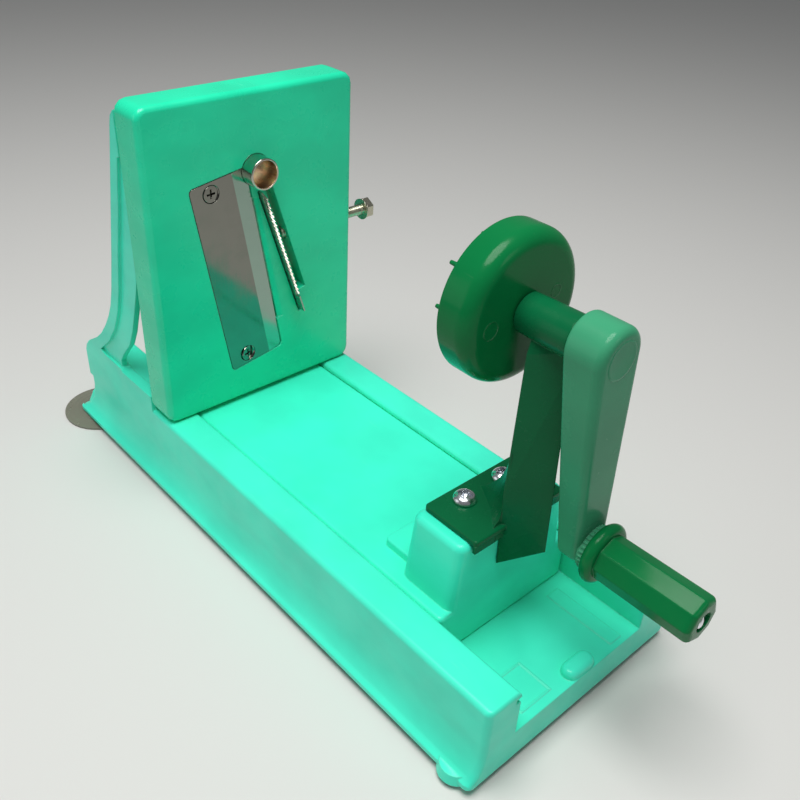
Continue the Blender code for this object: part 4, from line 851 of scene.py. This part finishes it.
bracket = {"edge": 0.0005, "sleeveRear": -0.0096, "sleeveFront": 0.0141, "sleeveEdge": 0.0005,
           "rearRadius": 0.0079, "frontRadius": 0.0084, "bore": 0.0059, "plateTop": 0.0795, "lipDrop": 0.006,
           "lipTop": 0.0008, "lipRear": 0.0006, "lipFront": 0.00215, "lipFrom": 0.0102, "lipTo": 0.0154,
           "lipEdge": 0.0002}
skirt = {"low": 0.0792, "rise": 0.0345, "rings": 24, "sides": 10, "rear": 0.0140, "rearTop": 0.0075, "topTaper": 5,
         "flare": 3.2, "front": 0.0003, "spread": 0.0058, "spreadTop": 0.0098, "spreadFlare": 9, "bow": 0.0010,
         "bowSide": 0.6}


def makeSkirt():
    # Flared foot behind the column: a wedge in plan that draws in as it rises
    loops = []
    front = skirt["front"]
    for number in range(skirt["rings"] + 1):
        share = number / skirt["rings"]
        flare = (1 - share) ** skirt["flare"]
        rear = -skirt["rearTop"] * min(1, (1 - share) * skirt["topTaper"]) - skirt["rear"] * flare
        half = skirt["spreadTop"] + skirt["spread"] * (1 - share) ** skirt["spreadFlare"]
        side = []
        for step in range(skirt["sides"] + 1):
            along = step / skirt["sides"]
            inward = skirt["bow"] * flare * math.sin(math.pi * along)
            side.append((front + (rear - front) * along + inward,
                         half * (1 - along) - inward * skirt["bowSide"] * (along < 1)))
        outer = [(x, -y) for x, y in side] + [(x, y) for x, y in reversed(side[:-1])]
        loops.append([(crankAxis.x + x, y, skirt["low"] + skirt["rise"] * share) for x, y in outer])
    return lofted("bracketSkirt", loops, "bracketGreen")


def makeBracket():
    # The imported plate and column, a fine sleeve over the bearing tube, lips up to the column and its skirt
    body = softCopy("crank_bracket", "crankBracket", "bracketGreen", bracket["edge"])
    rear, front, edge = bracket["sleeveRear"], bracket["sleeveFront"], bracket["sleeveEdge"]
    profile = [(bracket["bore"], rear), *arc(bracket["rearRadius"] - edge, rear + edge, edge, -90, 0, 4),
               *arc(bracket["frontRadius"] - edge, front - edge, edge, 0, 90, 4), (bracket["bore"], front)]
    sleeve = turned("bearingSleeve", profile, crankAxis, xWay, "bracketGreen", 96, True)
    shape = bmesh.new()
    for y0, y1 in ((-bracket["lipTo"], -bracket["lipFrom"]), (bracket["lipFrom"], bracket["lipTo"])):
        addBox(shape, (crankAxis.x + bracket["lipRear"], y0, bracket["plateTop"] - bracket["lipDrop"]),
               (crankAxis.x + bracket["lipFront"], y1, bracket["plateTop"] - bracket["lipTop"]))
    lips = beveled(fromBmesh("bracketLips", shape, "bracketGreen"), bracket["lipEdge"], 2)
    placed(joined(body, sleeve, lips, makeSkirt()), "carriage", "dark_green_plastic", "crank_bracket")


makeBracket()

disc = {"radius": 0.0302, "front": -0.0254, "back": -0.0102, "backRound": 0.0062, "frontRound": 0.0009,
        "bore": 0.0043, "hub": 0.0093, "dish": 0.0007, "dishFrom": 0.01, "dishRim": 0.0092, "sides": 144,
        "spikes": {"Count": 8, "Ring Radius": 0.0215, "Sides": 24, "Root": 0.0014, "Tip": 0.0008, "Length": 0.0096,
                   "Turn": math.radians(-3)},
        "spikeSunk": 0.001, "marks": ((-0.0185, -0.0018, 0.0036), (0.0152, 0.0036, 0.0026))}


def makeDisc():
    # Turned body, wide round at the back, with a spike ring in front and two faint moulding marks
    front, back, radius = disc["front"], disc["back"], disc["radius"]
    backRound, frontRound, dished = disc["backRound"], disc["frontRound"], disc["front"] + disc["dish"]
    profile = [(disc["bore"], back), (disc["hub"], back),
               *arc(radius - backRound, back - backRound, backRound, 90, 0, 20),
               *arc(radius - frontRound, front + frontRound, frontRound, 0, -90, 6),
               (radius * 0.9, front), (radius * 0.87, dished), (disc["dishFrom"], dished), (disc["dishRim"], front),
               (disc["bore"], front)]
    body = turned("driveDisc", profile, crankAxis, xWay, "leafGreen", disc["sides"], True)
    foot = crankAxis + Vector((front + disc["spikeSunk"], 0, 0))
    spikes = grown("driveSpikes", "pegs", "leafGreen", {**disc["spikes"], "Place": tuple(foot)})
    marks = []
    for across, rise, size in disc["marks"]:
        ring = [(size - 0.0003, -0.0001), (size - 0.00022, 0.00006), (size, 0.00008), (size + 0.0002, -0.0001)]
        marks.append(turned("discMark", ring, crankAxis + Vector((back, across, rise)), xWay, "leafGreen", 40, True))
    placed(joined(body, spikes, *marks), "crank", "leaf_green_plastic", "drive_disc")


makeDisc()

arm = {"length": 0.0902, "hub": 0.0117, "tip": 0.0096, "front": 0.0315, "tipFront": 0.030, "rear": 0.0155,
       "tipRear": 0.020, "tipFlat": 0.8, "round": 0.0034, "roundSteps": 8, "rearRound": 0.0016, "rearSteps": 6,
       "swing": math.radians(6.4), "steps": 28}
boss = {"bore": 0.0033, "radius": 0.0094, "front": 0.0322, "edge": 0.0002, "sunk": 0.0006, "ribs": 30,
        "ribRadius": 0.00045, "ribGap": 0.0003}
cap = {"radius": 0.0069, "proud": 0.00012}


def armRing(inset):
    # The outline: a large arc round the hub and a flatter, smaller one round the tip
    points = []
    spread = math.asin((arm["hub"] - arm["tip"]) / arm["length"])
    for centre, radius, start, stop in ((0, arm["hub"], -spread, math.pi + spread),
                                        (-arm["length"], arm["tip"], math.pi + spread, math.tau - spread)):
        for step in range(arm["steps"] + 1):
            angle = start + (stop - start) * step / arm["steps"]
            flat = arm["tipFlat"] if centre else 1
            points.append(((radius - inset) * math.cos(angle), centre + (radius - inset) * math.sin(angle) * flat))
    return points


def makeArm():
    # Lofted bar that thins towards its tip, with round edges, a ribbed boss and a faint hub cap
    rings = []
    for number in range(arm["rearSteps"] + 1):
        angle = math.radians(90 * number / arm["rearSteps"])
        rings.append(("rear", "tipRear", arm["rearRound"] * (1 - math.sin(angle)),
                      arm["rearRound"] * (1 - math.cos(angle))))
    for number in range(arm["roundSteps"] + 1):
        angle = math.radians(90 * number / arm["roundSteps"])
        rings.append(("front", "tipFront", arm["round"] * (1 - math.cos(angle)),
                      -arm["round"] * (1 - math.sin(angle))))
    body = lofted("crankArm", [[(arm[face] + (arm[tipFace] - arm[face]) * -z / arm["length"] + setback, y, z)
                                for y, z in armRing(inset)] for face, tipFace, inset, setback in rings], "seaGreen")
    body.data.transform(Matrix.Translation(crankAxis) @ Matrix.Rotation(arm["swing"], 4, "X"))
    foot, front, radius, edge = arm["tipFront"] - boss["sunk"], boss["front"], boss["radius"], boss["edge"]
    collar = turned("gripBoss", [(boss["bore"], foot), (radius, foot), (radius, front - edge), (radius - edge, front),
                                 (boss["bore"], front)], gripLine, xWay, "paleGreen", 72, True)
    ribLength = front - arm["tipFront"] - boss["ribGap"]
    ribFront = (arm["tipFront"] + front + ribLength) / 2
    ribs = grown("gripBossRibs", "pegs", "paleGreen", {
        "Count": boss["ribs"], "Ring Radius": radius, "Sides": 10, "Root": boss["ribRadius"],
        "Tip": boss["ribRadius"], "Length": ribLength, "Turn": 0.0,
        "Place": (crankAxis.x + ribFront, gripAxis.y, gripAxis.z)})
    placed(joined(body, collar, ribs), "crank", "sea_green_plastic", "crank_arm")
    rim = cap["radius"]
    lid = turned("hubCap", [(0, -0.00008), (rim * 0.8, -0.00007), (rim * 0.93, 0.0), (rim, 0.00005),
                            (rim + 0.0006, 0.00001), (rim + 0.0009, -0.0004), (0, -0.0008)],
                 (crankAxis.x + arm["front"] + cap["proud"], 0, crankAxis.z), xWay, "seaGreen", 96, False, 60.0)
    placed(lid, "crank", "sea_green_plastic", "hub_cap")


makeArm()

handle = {"rear": 0.0325, "end": 0.0803, "root": 0.0091, "tip": 0.0093, "sides": 8, "edge": 0.0004,
          "endRound": 0.0026, "collar": 0.0130, "collarRound": 0.0028, "recess": 0.0043, "recessDepth": 0.0043,
          "bore": 0.0033, "turn": math.radians(22.5), "sharpest": 28.0}


def makeHandle():
    # Eight-sided handle with a round collar and a recess for its end screw
    corner = 1 / math.cos(math.pi / handle["sides"])
    end, edge = handle["end"], handle["collarRound"]
    start = handle["rear"] + edge
    body = grown("handGrip", "handle", "leafGreen", {
        "Sides": handle["sides"], "Root Radius": handle["root"] * corner, "End Radius": handle["tip"] * corner,
        "Length": end - start, "Place": (crankAxis.x + start, gripAxis.y, gripAxis.z)})
    body.data.transform(Matrix.Translation(gripAxis) @ Matrix.Rotation(handle["turn"], 4, "X")
                        @ Matrix.Translation(-gripAxis))
    shape = bmesh.new()
    shape.from_mesh(body.data)
    bmesh.ops.remove_doubles(shape, verts=shape.verts, dist=weld)
    bmesh.ops.dissolve_limit(shape, angle_limit=flatAngle, verts=shape.verts, edges=shape.edges)
    endX = crankAxis.x + end - 1e-5
    lip = [side for side in shape.edges if all(vertex.co.x > endX for vertex in side.verts)]
    bmesh.ops.bevel(shape, geom=lip, offset=handle["endRound"], segments=5, profile=0.5, affect="EDGES")
    shape.to_mesh(body.data)
    shape.free()
    beveled(body, handle["edge"], 2, handle["sharpest"])
    floor, mouth = end - handle["recessDepth"], end + 0.002
    carved(body, turned("recess", [(0, floor), (handle["recess"], floor), (handle["recess"], mouth), (0, mouth)],
                        gripLine, xWay, "leafGreen", 48))
    smoothUpTo(body.data, handle["sharpest"])
    profile = [*arc(handle["collar"] - edge, start, edge, -90, 90, 18), (handle["bore"], start + edge),
               (handle["bore"], start - edge)]
    collar = turned("gripCollar", profile, gripLine, xWay, "leafGreen", 96, True)
    placed(joined(body, collar), "grip", "leaf_green_plastic", "grip")


makeHandle()
print("crank pieces made")


def makeFloor():
    shape = bmesh.new()
    bmesh.ops.create_grid(shape, x_segments=1, y_segments=1, size=room["ground"])
    made = bpy.data.materials.new("plainFloor")
    made.use_nodes = True
    shader = made.node_tree.nodes["Principled BSDF"]
    shader.inputs["Base Color"].default_value = (*room["floor"], 1)
    shader.inputs["Roughness"].default_value = room["floorRough"]
    materials["plainFloor"] = made
    fromBmesh("floor", shape, "plainFloor")


makeFloor()
